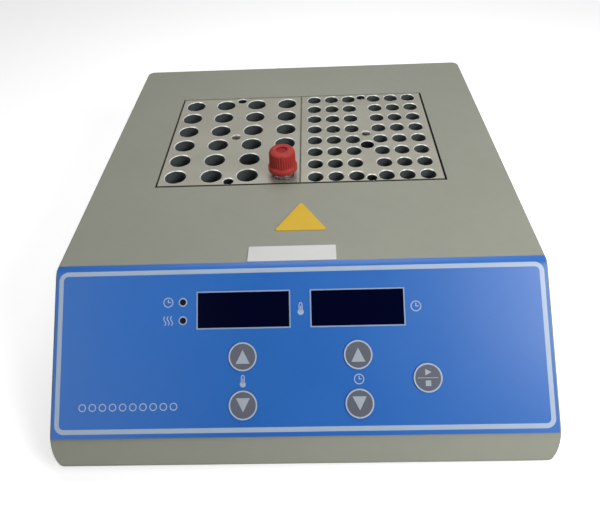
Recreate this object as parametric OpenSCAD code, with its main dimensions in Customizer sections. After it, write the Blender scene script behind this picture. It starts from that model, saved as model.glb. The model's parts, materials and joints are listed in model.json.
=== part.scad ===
// Two-block dry bath incubator: painted steel housing with a sloped control panel,
// a heated well with two lift-out tube blocks, five keys, two displays and a rear mains inlet.
// Millimetres, +Z up, -Y is the control panel side, z = 0 is the surface that the feet stand on.

/* [Housing] */
// Width of the housing
body_w = 217; // [212:1:250]
// Depth of the flat top, from the fold line to the back
top_d = 201.2; // [196:0.1:230]
// Height of the painted shell without its feet
shell_h = 59; // [57:0.5:75]
// Slope of the control panel from level
panel_angle = 44; // [41:0.5:46]
// Thickness of the painted steel sheet
sheet = 1.2; // [0.8:0.1:1.6]
// Radius of the upright corners at the back
corner_r = 5.5; // [4:0.5:9]
// Radius of the lower edges along the sides
lower_r = 10.4; // [8:0.2:11]
// Radius of the bend between the top and the control panel
fold_r = 8; // [3:0.5:10]
// Radius of the small bends along the upper edges
edge_r = 0.6; // [0.4:0.1:1]
// Radius of the nose where the panel meets the underside
nose_r = 1; // [0.6:0.1:2]
// Width of the flanges turned in round the open back and underside
flange_w = 10; // [8:0.5:12]
// Thickness of the base plate
base_t = 1.5; // [1:0.1:2.5]
// Thickness of the rear panel
rear_t = 1.2; // [1:0.1:2]
// Depth of the foot flange of the rear panel
rear_foot_d = 12; // [10:0.5:14]
// Gap kept between the edges of inner sheets and the shell
sheet_gap = 1; // [0.5:0.1:1.5]

/* [Feet and fasteners] */
// Clear height under the shell
foot_h = 9; // [7:0.5:16]
// Radius of a foot at the surface it stands on
foot_r = 8; // [7:0.5:9]
// Radius of a foot at the base plate
foot_top_r = 9.2; // [8.5:0.1:9.8]
// Distance of the feet from the sides of the housing
foot_x = 33; // [32.5:0.5:48]
// Distance of the feet from the front tip and from the back
foot_y = 38; // [34:1:50]
// Height of the lower screws of the rear panel above the edge of the shell
rear_low = 16; // [14:0.5:20]
// Distance of the upper screws of the rear panel below the top
rear_high = 14; // [12:0.5:18]
// Radius of the small screws
screw_r = 1.5; // [1.2:0.1:1.7]
// Radius of the heads of the small screws
screw_head_r = 2.8; // [2.4:0.1:3.2]
// Height of the screw heads
screw_head_h = 1.8; // [1.2:0.1:2]
// Radius of the large screws in the feet and under the heater
big_screw_r = 2; // [1.8:0.1:2.3]
// Radius of the heads of the large screws
big_head_r = 3.5; // [3:0.1:4]
// Thickness of the nuts
nut_t = 2.4; // [1.8:0.1:3]
// Play of a screw in its hole
screw_play = 0.1; // [0.05:0.05:0.2]

/* [Control panel] */
// Thickness of the printed overlay
overlay_t = 0.5; // [0.3:0.1:0.8]
// Distance of the upper edge of the overlay above the fold line
overlay_rise = 1.8; // [0:0.1:2]
// Bare strip of shell below the overlay, up to the tip of the nose
lower_strip = 12.8; // [11:0.1:13]
// Width of each display window
window_w = 41; // [36:0.5:44]
// Height of each display window
window_h = 16.2; // [12:0.2:18]
// Distance of each window from the middle
display_gap = 4.4; // [3:0.1:5]
// Place of the displays down the panel, as a part of its length
display_place = 0.222; // [0.2:0.002:0.23]
// Lip of the window behind the sheet
window_lip = 1.2; // [1:0.1:1.4]
// Gap round a window
window_gap = 0.1; // [0.05:0.05:0.2]
// Radius of a key
key_r = 6.15; // [5:0.05:6.5]
// Height of a key above the overlay
key_proud = 0.5; // [0.4:0.05:1]
// Travel of a key
key_travel = 0.5; // [0.3:0.05:0.6]
// Gap round a key
key_gap = 0.35; // [0.3:0.05:0.5]
// Place of the upper keys down the panel, as a part of its length
key_up_place = 0.458; // [0.45:0.002:0.47]
// Place of the lower keys down the panel, as a part of its length
key_down_place = 0.696; // [0.68:0.002:0.7]
// Distance between the start and stop key and the keys beside it
start_gap = 29.3; // [26:0.1:30]
// Place of the start and stop key down the panel, as a part of its length
start_place = 0.577; // [0.55:0.002:0.6]
// Radius of an indicator lens
lamp_r = 1.3; // [1:0.1:1.6]
// Distance of the indicators from the window beside them
lamp_gap = 5.7; // [4:0.1:7]
// Distance of the upper indicator above the middle of the window
lamp_rise = 3.65; // [2:0.05:5]
// Distance between the two indicators
lamp_pitch = 7.95; // [6:0.05:10]
// Gap between the sheet and the control board
board_gap = 6.3; // [5.5:0.1:7]
// Thickness of the circuit boards
board_t = 1.6; // [1:0.1:2]
// Margin of the control board beside the indicators
board_side = 11.9; // [11:0.1:18]
// Distance of the upper edge of the control board from the fold line
board_high = 7.5; // [7:0.1:8]
// Distance of the lower edge of the control board from the tip of the nose
board_low = 17.4; // [16.8:0.1:18]

/* [Plates on the top] */
// Width of the bare name plate
plate_w = 39.8; // [30:0.2:50]
// Depth of the bare name plate
plate_d = 9.8; // [8:0.2:10]
// Gap between the name plate and the upper edge of the overlay
plate_gap = 0.1; // [0.1:0.1:3]
// Sideways place of the name plate
plate_x = -3; // [-10:0.5:10]
// Side of the triangle marker
marker_side = 25; // [18:0.5:28]
// Distance of the middle of the marker's base behind the fold line
marker_y = 23.4; // [19:0.1:26]
// Sideways place of the marker
marker_x = 0.8; // [-5:0.1:5]
// Thickness of the stuck-on plates
plate_t = 0.4; // [0.2:0.1:0.8]

/* [Blocks] */
// Width of the rim beside the well
well_side = 31.9; // [31.5:0.1:40]
// Depth of the rim behind the well
well_rear = 43.35; // [42.5:0.05:60]
// Gap between the two blocks
block_gap = 0.3; // [0.3:0.05:1]
// Gap between the blocks and the edge of the well
well_gap = 0.7; // [0.4:0.05:1.2]
// Distance from the fold line to the well
well_setback = 61.15; // [60:0.05:70]
// Chamfer round the upper edges and the holes of a block
chamfer = 0.5; // [0.2:0.1:0.8]
// Radius of a tube hole in the left block
big_hole_r = 5.65; // [4.5:0.05:6]
// Height of the tube holes in the left block above its underside
big_hole_floor = 5; // [5:0.5:10]
// Distance between columns in the left block
big_pitch_x = 19.4; // [16:0.1:19.6]
// Distance between rows in the left block
big_pitch_y = 15.6; // [14:0.1:15.8]
// Radius of a tube hole in the right block
small_hole_r = 4.1; // [3:0.05:4.6]
// Height of the tube holes in the right block above its underside
small_hole_floor = 10; // [5:0.5:14]
// Distance between columns in the right block
small_pitch_x = 10.9; // [10:0.1:11]
// Width of the lane in the middle of the right block
lane_w = 15.8; // [15.6:0.1:16.6]
// Distance between rows in the right block
small_pitch_y = 12.1; // [10:0.1:12.2]
// Radius of the thermometer hole
probe_hole_r = 3.75; // [2.5:0.05:3.9]
// Distance of the thermometer hole in front of the middle
probe_hole_y = 11.9; // [10:0.1:13]
// Height of the thermometer hole above the underside of the block
probe_hole_floor = 10; // [5:0.5:16]
// Core radius of the lifting thread in each block
lift_r = 2.5; // [2:0.1:2.6]
// Depth of the lifting thread
lift_depth = 14; // [8:0.5:20]
// Radius of the locating holes in the blocks
guide_hole_r = 2.65; // [2:0.05:2.8]
// Distance of the locating holes from the edge of a block
guide_inset = 3.45; // [3.4:0.05:4]
// Play of a locating pin in its hole
guide_play = 0.08; // [0.05:0.01:0.1]
// Height of a locating pin above the heater plate
guide_pin_h = 8; // [5:0.5:14]

/* [Heater] */
// Thickness of the heater plate
heater_t = 8; // [6.5:0.5:9]
// Thickness of the heater mat
mat_t = 1.5; // [1:0.1:2]
// Thickness of the insulation pad under the heater mat
pad_t = 8.8; // [8:0.1:12]
// Margin of the heater mat inside the heater plate
mat_margin = 2; // [1:0.5:4]
// Thickness of the liner of the well
liner_t = 0.8; // [0.5:0.1:1]
// Gap between the liner and what it surrounds
liner_gap = 0.2; // [0.1:0.05:0.4]
// Thickness of the insulation round the liner
wrap_t = 10; // [6:0.5:12]
// Radius of the stand-offs under the heater plate
post_r = 4; // [3.2:0.1:5]
// Distance of the stand-offs from the edges of the heater plate
post_inset = 12; // [9:0.5:20]
// Radius of the temperature probe
probe_r = 2; // [1.5:0.1:2.2]
// Length of the temperature probe
probe_l = 46; // [30:1:60]
// Radius of the thermal cut-out
cutout_r = 8; // [6:0.5:9]
// Height of the thermal cut-out
cutout_h = 7; // [4:0.5:7.5]

/* [Sample tube] */
// Column of the left block that holds the sample tube, from the right
tube_column = 0; // [0:1:3]
// Row of the left block that holds the sample tube, from the front
tube_row = 0; // [0:1:5]
// Radius of the tube
tube_r = 5.3; // [4:0.05:5.3]
// Wall of the tube
tube_wall = 0.9; // [0.6:0.1:1.2]
// Radius of the threaded neck of the tube
neck_r = 4.9; // [3.8:0.05:5]
// Height of the lower rim of the cap above the block
cap_lift = 3.4; // [2.5:0.1:5]
// Height of the cap
cap_h = 12.2; // [9:0.1:14]
// Radius of the cap to the bottom of its ribs
cap_r = 6.65; // [6.1:0.05:6.8]
// Height of the ribs of the cap
rib_h = 0.3; // [0.2:0.05:0.4]
// Number of ribs round the cap
rib_count = 32; // [20:1:40]
// Radius of the rim of the cap
cap_rim_r = 7.7; // [7:0.05:7.8]
// Height of the rim of the cap
cap_rim_h = 3.3; // [2:0.1:4]
// Slope of the shoulder of the cap
cap_shoulder = 1.5; // [1:0.1:2]
// Radius of the recess in the top of the cap
cap_recess_r = 2.9; // [1.5:0.1:3]
// Depth of the recess in the top of the cap
cap_recess_d = 1; // [0.5:0.1:1.2]
// Thickness of the top of the cap
cap_top_t = 2.2; // [1.8:0.1:3]
// Gap between the cap and the neck it turns on
cap_gap = 0.35; // [0.3:0.05:0.4]
// Thickness of the sealing disc in the cap
seal_t = 1; // [0.6:0.1:1.5]

/* [Rear fittings] */
// Distance of the middle of the mains inlet from the side of the housing
inlet_side = 46.5; // [44.5:0.5:58]
// Gap between the flange of the inlet and the upper edge of the rear opening
inlet_top_gap = 1.1; // [0.5:0.1:1.5]
// Width of the flange of the inlet
inlet_w = 48; // [46:1:52]
// Height of the flange of the inlet
inlet_h = 36; // [35:0.5:40]
// Thickness of the flange of the inlet
inlet_flange_t = 3; // [2:0.1:3.5]
// Width of the socket in the inlet
socket_w = 24.6; // [24:0.1:26]
// Height of the socket in the inlet
socket_h = 16.8; // [16:0.1:18]
// Depth of the socket in the inlet
socket_d = 16; // [14:0.5:17]
// Wall of the inlet body
inlet_wall = 1.8; // [1.4:0.1:2.2]
// Distance of the inlet screws from the middle of the inlet
inlet_screw_x = 20; // [19.5:0.1:21]
// Width of the fuse drawer
drawer_w = 21.4; // [21.2:0.1:23]
// Height of the fuse drawer
drawer_h = 7.4; // [7:0.1:8]
// Length of the fuse drawer behind the flange face
drawer_l = 20; // [16:0.5:20]
// Gap round the fuse drawer
drawer_gap = 0.3; // [0.3:0.05:0.5]
// Height that the drawer front stands proud of the flange
drawer_proud = 1; // [0.5:0.1:2]
// Radius of the fuse
fuse_r = 2.5; // [2:0.1:2.6]
// Length of the fuse
fuse_l = 20; // [15:0.5:20]
// Distance between the middles of the mains inlet and the mains switch
switch_pitch = 44; // [38:1:48]
// Width of the rocker
rocker_w = 15; // [12:0.5:17]
// Half length of the rocker
rocker_l = 11.2; // [9:0.1:11.4]
// Tilt of the rocker each way
rocker_tilt = 9; // [5:0.5:10]
// Gap at the sides of the rocker
rocker_gap = 0.35; // [0.3:0.05:0.6]
// Wall of the switch body
switch_wall = 1.8; // [1.5:0.1:2.5]
// Width of the bezel beyond the switch body
bezel_lip = 1.6; // [1:0.1:2.5]
// Thickness of the bezel
bezel_t = 2; // [1.5:0.1:2.5]
// Radius of the pivot pins of the rocker
pivot_r = 1.5; // [1:0.1:2]
// Play of the pivot pins
pivot_play = 0.05; // [0.03:0.01:0.08]
// Width of a cooling slot
slot_w = 2.4; // [1.5:0.1:3]
// Height of a cooling slot
slot_h = 24; // [10:0.5:30]
// Distance between cooling slots
slot_pitch = 6; // [5:0.5:8]
// Distance of the cooling slots from the side of the rear opening
slot_side = 8.3; // [5:0.1:12]
// Distance between the cooling slots and the middle of the switch
slot_clear = 34; // [24:1:50]

/* [Power electronics] */
// Width of the power board
power_w = 124; // [122:1:140]
// Depth of the power board
power_d = 46; // [42:1:48]
// Height of the power board above the base plate
power_lift = 6; // [4:0.5:8]
// Distance of the power board in front of the insulation
power_gap = 7; // [6:0.5:10]
// Width of the transformer
transformer_w = 38; // [30:1:42]
// Depth of the transformer
transformer_d = 31; // [24:1:32]
// Height of the transformer
transformer_h = 24; // [18:0.5:26]
// Distance of the transformer from the edge of the power board
transformer_in = 14; // [10:0.5:18]
// Distance of the terminal block from the edge of the power board
terminal_in = 12; // [10:0.5:16]
// Radius of an insulated lead
lead_r = 1.1; // [0.8:0.1:1.3]
// Distance between the mains leads
lead_pitch = 3.4; // [3:0.1:4]
// Width of the ribbon cable
ribbon_w = 14; // [8:0.5:20]
// Thickness of the ribbon cable
ribbon_t = 1; // [0.6:0.1:1.4]
// Length of the ribbon cable that stands straight out of the control board
ribbon_out = 6; // [4:0.5:8]
// Height of the level run of the ribbon cable above the power board
ribbon_rise = 3.5; // [2.5:0.1:6]

/* [Hidden] */
$fn = 64;
past = 1;

top_z = foot_h + shell_h;
panel_run = shell_h / tan(panel_angle);
panel_len = shell_h / sin(panel_angle);
nose_reach = nose_r / tan(panel_angle / 2) - nose_r;
rear_reach = inlet_flange_t + drawer_proud - sheet;
body_d = top_d + panel_run - nose_reach;
total_d = body_d + rear_reach;
back_y = total_d / 2 - rear_reach;
fold_y = back_y - top_d;
tip_y = fold_y - panel_run;
bend_run = fold_r * tan(panel_angle / 2);
edge_turn = panel_angle - asin(min((bend_run + overlay_rise) / fold_r, 1));
overlay_edge_y = fold_y
    + (edge_turn > 0 ? bend_run - fold_r * sin(edge_turn) : overlay_rise / cos(panel_angle));
side_flat = body_w / 2 - max(corner_r, lower_r);
opening_x = side_flat - flange_w;
base_z = foot_h + sheet;
floor_z = base_z + base_t;
inner_y = back_y - sheet;
rear_in_y = inner_y - rear_t;
sheet_x = side_flat - sheet_gap;
screw_line_x = side_flat - flange_w / 2;

well_w = body_w - 2 * well_side;
well_d = top_d - well_setback - well_rear;
well_y = fold_y + well_setback + well_d / 2;
block_w = (well_w - block_gap) / 2 - well_gap;
block_d = well_d - 2 * well_gap;
block_h = top_z - floor_z - pad_t - mat_t - heater_t;
block_x = (block_w + block_gap) / 2;
big_hole_depth = block_h - big_hole_floor;
small_hole_depth = block_h - small_hole_floor;
probe_hole_depth = block_h - probe_hole_floor;

// Columns of holes on each side of the middle of a block, and rows, as many as fit on it
edge_land = 0.5;
function fitting(room, pitch) = 1 + floor(room / pitch);
big_edge = big_hole_r + chamfer + edge_land;
small_edge = small_hole_r + chamfer + edge_land;
big_columns = fitting(block_w / 2 - big_edge - big_pitch_x / 2, big_pitch_x);
big_rows = fitting(block_d - 2 * big_edge, big_pitch_y);
small_columns = fitting(block_w / 2 - small_edge - lane_w / 2, small_pitch_x);
small_rows = fitting(block_d - 2 * small_edge, small_pitch_y);
guide_y = block_d / 2 - guide_inset;
heater_top = top_z - block_h;
heater_z = heater_top - heater_t;
mat_z = heater_z - mat_t;
liner_in_w = well_w + 2 * liner_gap;
liner_in_d = well_d + 2 * liner_gap;
liner_out_w = liner_in_w + 2 * liner_t;
liner_out_d = liner_in_d + 2 * liner_t;
wrap_in_w = liner_out_w + 2 * liner_gap;
wrap_in_d = liner_out_d + 2 * liner_gap;
wrap_out_w = wrap_in_w + 2 * wrap_t;
wrap_out_d = wrap_in_d + 2 * wrap_t;
wrap_top = top_z - sheet - liner_gap;
heater_w = liner_in_w - 2 * liner_gap;
heater_d = liner_in_d - 2 * liner_gap;
guide_pin_r = guide_hole_r - guide_play;
guide_pin_sink = 5;
post_x = heater_w / 2 - post_inset;
post_y = heater_d / 2 - post_inset;
heater_screw_in = 5;
cutout_x = 38;
probe_z = heater_z + heater_t / 2;

// Places on the control panel are written as [sideways, distance below the fold line].
display_x = window_w / 2 + display_gap;
display_v = display_place * panel_len;
key_x = display_x;
key_up_v = key_up_place * panel_len;
key_down_v = key_down_place * panel_len;
start_x = key_x + start_gap;
start_v = start_place * panel_len;
lamp_x = display_x + window_w / 2 + lamp_gap;
lamp_v = display_v - lamp_rise;
board_w = 2 * (lamp_x + board_side);
board_h = panel_len - board_high - board_low;
board_v = board_high + board_h / 2;
board_n = -sheet - board_gap;
board_back_n = board_n - board_t;
standoff_x = board_w / 2 - 3.5;
standoff_v = board_h / 2 - 3.5;
key_flange_r = key_r + 1;
key_flange_t = 0.8;
key_rest_gap = 0.1;
key_flange_n = -sheet - key_rest_gap;
stem_r = 1.75;
tact_size = 6.2;
tact_h = 3.4;
tact_well_r = stem_r + 0.4;
tact_well_d = 1.1;
tact_n = board_n + tact_h;
stem_end_n = tact_n - tact_well_d + key_travel + key_rest_gap;
window_back_n = -sheet - 1;
display_margin = 1;
key_places = [[-key_x, key_up_v], [-key_x, key_down_v], [key_x, key_up_v],
    [key_x, key_down_v], [start_x, start_v]];
lamp_places = [for (i = [0, 1]) [-lamp_x, lamp_v + i * lamp_pitch]];
display_places = [[-display_x, display_v], [display_x, display_v]];

tube_x = -block_x + (big_columns - 0.5 - tube_column) * big_pitch_x;
tube_y = well_y + (tube_row - (big_rows - 1) / 2) * big_pitch_y;
tube_seat_gap = 0.4;
tube_bottom = top_z - big_hole_depth + tube_seat_gap;
cap_z = top_z + cap_lift;
cap_ceiling = cap_z + cap_h - cap_top_t;
seal_gap = 0.1;
neck_top = cap_ceiling - seal_t - 2 * seal_gap;
tube_cone_h = 6;

inlet_x = body_w / 2 - inlet_side;
inlet_z = foot_h + shell_h - flange_w - inlet_top_gap - inlet_h / 2;
socket_z = inlet_z + inlet_h / 2 - inlet_wall - 2 - socket_h / 2;
drawer_z = inlet_z - inlet_h / 2 + 3 + drawer_h / 2;
slot_half_h = drawer_h / 2 + drawer_gap;
pin_pitch = 7;
pin_offset = 4;
switch_x = inlet_x - switch_pitch;
switch_z = inlet_z;
pivot_y = inner_y - 5.5;
rocker_rise = 7.2;
rocker_dip = 5.6;
rocker_keel = 4;
rocker_reach = norm([rocker_l, rocker_rise]) * sin(atan(rocker_l / rocker_rise) + rocker_tilt);
switch_in_w = rocker_w + 2 * rocker_gap;
switch_in_h = 2 * (rocker_reach + rocker_gap);
switch_depth = 19;
slot_count = floor((switch_x + opening_x - slot_side - slot_clear) / slot_pitch);
slot_x = slot_side - opening_x + ((slot_count - 1) * slot_pitch + slot_w) / 2;

power_z = floor_z + power_lift;
power_y = well_y - wrap_out_d / 2 - power_gap - power_d / 2;
part_z = power_z + board_t;
transformer_x = transformer_in + (transformer_w - power_w) / 2;
terminal_w = 34;
terminal_d = 10;
terminal_h = 12;
terminal_x = (power_w - terminal_w) / 2 - terminal_in;
terminal_y = power_y + power_d / 2 - terminal_d / 2 - 6;
relay_size = [19, 15.4, 15.6];
relay_x = 4;
relay_y = power_y - power_d / 2 + relay_size.y / 2 + 4;
cap_can_r = 5;
cap_can_h = 16;
cap_can_x = terminal_x;
cap_can_y = power_y - power_d / 2 + cap_can_r + 4;
spacer_r = 3;
spacer_in = 5;
lead_side_x = (wrap_out_w / 2 + body_w / 2 - sheet) / 2;
tab_l = 4;
inlet_face_y = inner_y + inlet_flange_t;
slot_back_y = inlet_face_y - drawer_l - drawer_gap;
fuse_y = inlet_face_y - 14;
inlet_back_y = slot_back_y - inlet_wall;
pin_back_y = inlet_back_y - tab_l;
lead_back_y = pin_back_y - lead_r - 1;
lead_front_y = terminal_y + terminal_d / 2 + 4;
heater_lead_x = 9;
heater_lead_z = floor_z + lead_r + 1.6;
heater_lead_in = 14;

// Helpers for plane outlines with true round corners
function unit(v) = v / norm(v);
function before(pts, i) = pts[(i + len(pts) - 1) % len(pts)];
function after(pts, i) = pts[(i + 1) % len(pts)];
function half_angle(p, v, n) = acos(unit(p - v) * unit(n - v)) / 2;

module round_outline(pts, radii) {
    last = len(pts) - 1;
    polygon([for (i = [0 : last], side = [0, 1])
        let (v = pts[i], p = before(pts, i), n = after(pts, i))
        v + unit((side == 0 ? p : n) - v) * radii[i] / tan(half_angle(p, v, n))]);
    for (i = [0 : last])
        if (radii[i] > 0)
            let (v = pts[i], p = before(pts, i), n = after(pts, i))
            translate(v + unit(unit(p - v) + unit(n - v)) * radii[i] / sin(half_angle(p, v, n)))
                circle(radii[i]);
}

module round_rect(w, h, r) {
    round_outline([[-w / 2, -h / 2], [w / 2, -h / 2], [w / 2, h / 2], [-w / 2, h / 2]], [r, r, r, r]);
}

// Outline of the housing seen from its side, with every wall moved inwards by inset. On the inside
// of the sheet the bend is a small flat, and the other corners are sharp.
module side_outline(inset) {
    lean = panel_angle / 2;
    tip = [tip_y + inset / tan(lean), foot_h + inset];
    fold = [fold_y + inset * tan(lean), top_z - inset];
    back = [[back_y - inset, foot_h + inset], [back_y - inset, top_z - inset]];
    flat = (fold_r - inset) * tan(lean) / 2;
    if (inset > 0)
        polygon([tip, back[0], back[1], fold + [flat, 0],
            fold - flat * [cos(panel_angle), sin(panel_angle)]]);
    else
        round_outline([tip, back[0], back[1], fold],
            [nose_r - inset, 0, edge_r - inset, fold_r - inset]);
}

module along_x(w) {
    translate([-w / 2, 0, 0]) rotate([90, 0, 90]) linear_extrude(w) children();
}

module along_y(y0, y1) {
    translate([0, y1, 0]) rotate([90, 0, 0]) linear_extrude(y1 - y0) children();
}

// Puts its children on the control panel: local +Y runs up the slope, local +Z points out of it
module on_panel(u, v) {
    translate([u, fold_y - v * cos(panel_angle), top_z - v * sin(panel_angle)])
        rotate([panel_angle, 0, 0]) children();
}

module panel_box(w, h, n0, n1) {
    translate([-w / 2, -h / 2, n0]) cube([w, h, n1 - n0]);
}

module panel_rod(r, n0, n1) {
    translate([0, 0, n0]) cylinder(h = n1 - n0, r = r);
}

module box_at(x, y, z, size) {
    translate([x - size.x / 2, y - size.y / 2, z]) cube(size);
}

// The solid that the painted shell fills, with every wall moved inwards by inset
module housing_solid(inset) {
    rear_r = corner_r - inset;
    low_r = lower_r - inset;
    high_r = max(edge_r - inset, 0);
    x = body_w / 2 - inset;
    intersection() {
        along_x(body_w - 2 * inset) side_outline(inset);
        along_y(tip_y - past, back_y + past)
            round_outline([[-x, foot_h + inset], [x, foot_h + inset], [x, top_z - inset],
                [-x, top_z - inset]], [low_r, low_r, high_r, high_r]);
        linear_extrude(top_z + past)
            round_outline([[-x, tip_y - past], [x, tip_y - past], [x, back_y - inset],
                [-x, back_y - inset]], [0, 0, rear_r, rear_r]);
    }
}

// A screw through a sheet: the outer face of the sheet is at z = 0 and the head stands on it
module screw(r, head_r, head_h, length) {
    cylinder(h = head_h, r = head_r);
    translate([0, 0, -length]) cylinder(h = length + head_h / 2, r = r);
}

module nut(r) {
    difference() {
        cylinder(h = nut_t, r = 1.9 * r, $fn = 6);
        translate([0, 0, -past]) cylinder(h = nut_t + 2 * past, r = r + screw_play / 2);
    }
}

module at_feet() {
    for (x = [-1, 1], y = [tip_y + foot_y, back_y - foot_y])
        translate([x * (body_w / 2 - foot_x), y, 0]) children();
}

module at_cover_screws() {
    for (x = [-screw_line_x, screw_line_x], y = [tip_y + foot_y, well_y, back_y - foot_y])
        translate([x, y, foot_h]) children();
}

module at_rear_screws() {
    for (x = [-screw_line_x, screw_line_x], z = [foot_h + rear_low, top_z - rear_high])
        translate([x, back_y, z]) rotate([-90, 0, 0]) children();
}

module at_standoffs() {
    for (x = [-standoff_x, standoff_x], v = [board_v - standoff_v, board_v + standoff_v])
        on_panel(x, v) children();
}

module at_posts() {
    for (x = [-post_x, post_x], y = [-post_y, post_y])
        translate([x, well_y + y, 0]) children();
}

module at_guides() {
    for (x = [-block_x, block_x], y = [-guide_y, guide_y])
        translate([x, well_y + y, 0]) children();
}

module at_spacers() {
    for (x = [-1, 1], y = [-1, 1])
        translate([x * (power_w / 2 - spacer_in), power_y + y * (power_d / 2 - spacer_in), 0])
            children();
}

module screw_hole(r, length) {
    translate([0, 0, -length]) cylinder(h = length + past, r = r + screw_play);
}

// A plain hole of radius r through a sheet that lies from z0 to z0 + t
module sheet_hole(r, z0, t) {
    translate([0, 0, z0 - past]) cylinder(h = t + 2 * past, r = r);
}

// Housing
module top_cover() {
    color([0.6, 0.6, 0.55]) difference() {
        housing_solid(0);
        housing_solid(sheet);
        translate([-opening_x, tip_y + foot_y - foot_top_r - 3, foot_h - past])
            cube([2 * opening_x, total_d, sheet + 2 * past]);
        translate([-opening_x, inner_y - past, foot_h - past])
            cube([2 * opening_x, sheet + 3 * past, shell_h - flange_w + past]);
        translate([-well_w / 2, well_y - well_d / 2, top_z - sheet - past])
            cube([well_w, well_d, sheet + 2 * past]);
        for (p = display_places)
            on_panel(p.x, p.y) panel_box(window_w + 2 * window_gap, window_h + 2 * window_gap,
                -sheet - past, past);
        for (p = key_places) on_panel(p.x, p.y) panel_rod(key_r + key_gap, -sheet - past, past);
        for (p = lamp_places) on_panel(p.x, p.y) panel_rod(lamp_r + screw_play, -sheet - past, past);
        at_cover_screws() sheet_hole(screw_r + screw_play, 0, sheet);
        at_rear_screws() screw_hole(screw_r, sheet + past);
    }
}

module base_plate() {
    front_y = tip_y + foot_y / 2;
    color([0.72, 0.73, 0.73]) difference() {
        translate([-sheet_x, front_y, base_z]) cube([2 * sheet_x, inner_y - front_y, base_t]);
        at_feet() sheet_hole(big_screw_r + screw_play, base_z, base_t);
        at_posts() sheet_hole(big_screw_r + screw_play, base_z, base_t);
        at_cover_screws() cylinder(h = sheet + base_t + past, r = screw_r + screw_play);
        for (i = [0 : slot_count - 1])
            translate([slot_x + (i - (slot_count - 1) / 2) * slot_pitch - slot_w / 2,
                well_y + wrap_out_d / 2 + 3, base_z - past])
                cube([slot_w, slot_h / 2, base_t + 2 * past]);
    }
}

module rear_panel() {
    color([0.58, 0.58, 0.53]) difference() {
        union() {
            translate([-sheet_x, rear_in_y, floor_z])
                cube([2 * sheet_x, rear_t, top_z - sheet - sheet_gap - floor_z]);
            translate([-sheet_x, inner_y - rear_foot_d, floor_z]) cube([2 * sheet_x, rear_foot_d, rear_t]);
        }
        at_rear_screws() screw_hole(screw_r, sheet + rear_t + past);
        for (x = [-screw_line_x, screw_line_x])
            translate([x, back_y - foot_y, floor_z]) cylinder(h = nut_t + past, r = 2.5 * screw_r);
        translate([inlet_x, 0, 0]) along_y(inner_y - rear_foot_d - past, inner_y + past)
            inlet_core(screw_play);
        for (x = [-inlet_screw_x, inlet_screw_x])
            translate([inlet_x + x, inner_y, inlet_z]) rotate([-90, 0, 0])
                screw_hole(screw_r, rear_t + past);
        translate([switch_x - switch_in_w / 2 - switch_wall - screw_play, rear_in_y - past,
            switch_z - switch_in_h / 2 - switch_wall - screw_play])
            cube([switch_in_w + 2 * switch_wall + 2 * screw_play, rear_t + 2 * past,
                switch_in_h + 2 * switch_wall + 2 * screw_play]);
        translate([slot_x - slot_count * slot_pitch / 2, inner_y - rear_foot_d - past, floor_z - past])
            cube([slot_count * slot_pitch, rear_foot_d - rear_t + past, rear_t + 2 * past]);
        for (i = [0 : slot_count - 1])
            translate([slot_x + (i - (slot_count - 1) / 2) * slot_pitch, 0, inlet_z])
                along_y(rear_in_y - past, inner_y + past) round_rect(slot_w, slot_h, slot_w / 2 - 0.01);
    }
}

module rubber_feet() {
    color([0.12, 0.12, 0.12]) at_feet() difference() {
        cylinder(h = base_z, r1 = foot_r, r2 = foot_top_r);
        translate([0, 0, -past]) cylinder(h = base_z / 2 + past, r = big_head_r + 0.6);
        cylinder(h = base_z + past, r = big_screw_r + screw_play);
    }
}

module foot_screws() {
    color([0.7, 0.7, 0.72]) at_feet() translate([0, 0, base_z / 2])
        rotate([180, 0, 0]) screw(big_screw_r, big_head_r, screw_head_h, base_z / 2 + base_t + nut_t);
}

module foot_nuts() {
    color([0.7, 0.7, 0.72]) at_feet() translate([0, 0, floor_z]) nut(big_screw_r);
}

module cover_screws() {
    color([0.7, 0.7, 0.72]) at_cover_screws()
        rotate([180, 0, 0]) screw(screw_r, screw_head_r, screw_head_h, sheet + base_t + nut_t);
}

module cover_nuts() {
    color([0.7, 0.7, 0.72]) at_cover_screws() translate([0, 0, sheet + base_t]) nut(screw_r);
}

module rear_screws() {
    color([0.7, 0.7, 0.72]) at_rear_screws()
        screw(screw_r, screw_head_r, screw_head_h, sheet + rear_t + nut_t);
}

module rear_nuts() {
    color([0.7, 0.7, 0.72]) at_rear_screws()
        translate([0, 0, -sheet - rear_t - nut_t]) nut(screw_r);
}

// Plates stuck on the top
module name_plate() {
    color("white") translate([plate_x, overlay_edge_y + plate_gap + plate_d / 2, top_z])
        linear_extrude(plate_t) round_rect(plate_w, plate_d, 0.5);
}

module triangle_marker() {
    half = marker_side / 2;
    color([0.95, 0.78, 0.1]) translate([marker_x, fold_y + marker_y, top_z]) linear_extrude(plate_t)
        round_outline([[-half, 0], [half, 0], [0, marker_side * sin(60)]], [0.8, 0.8, 0.8]);
}

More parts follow.
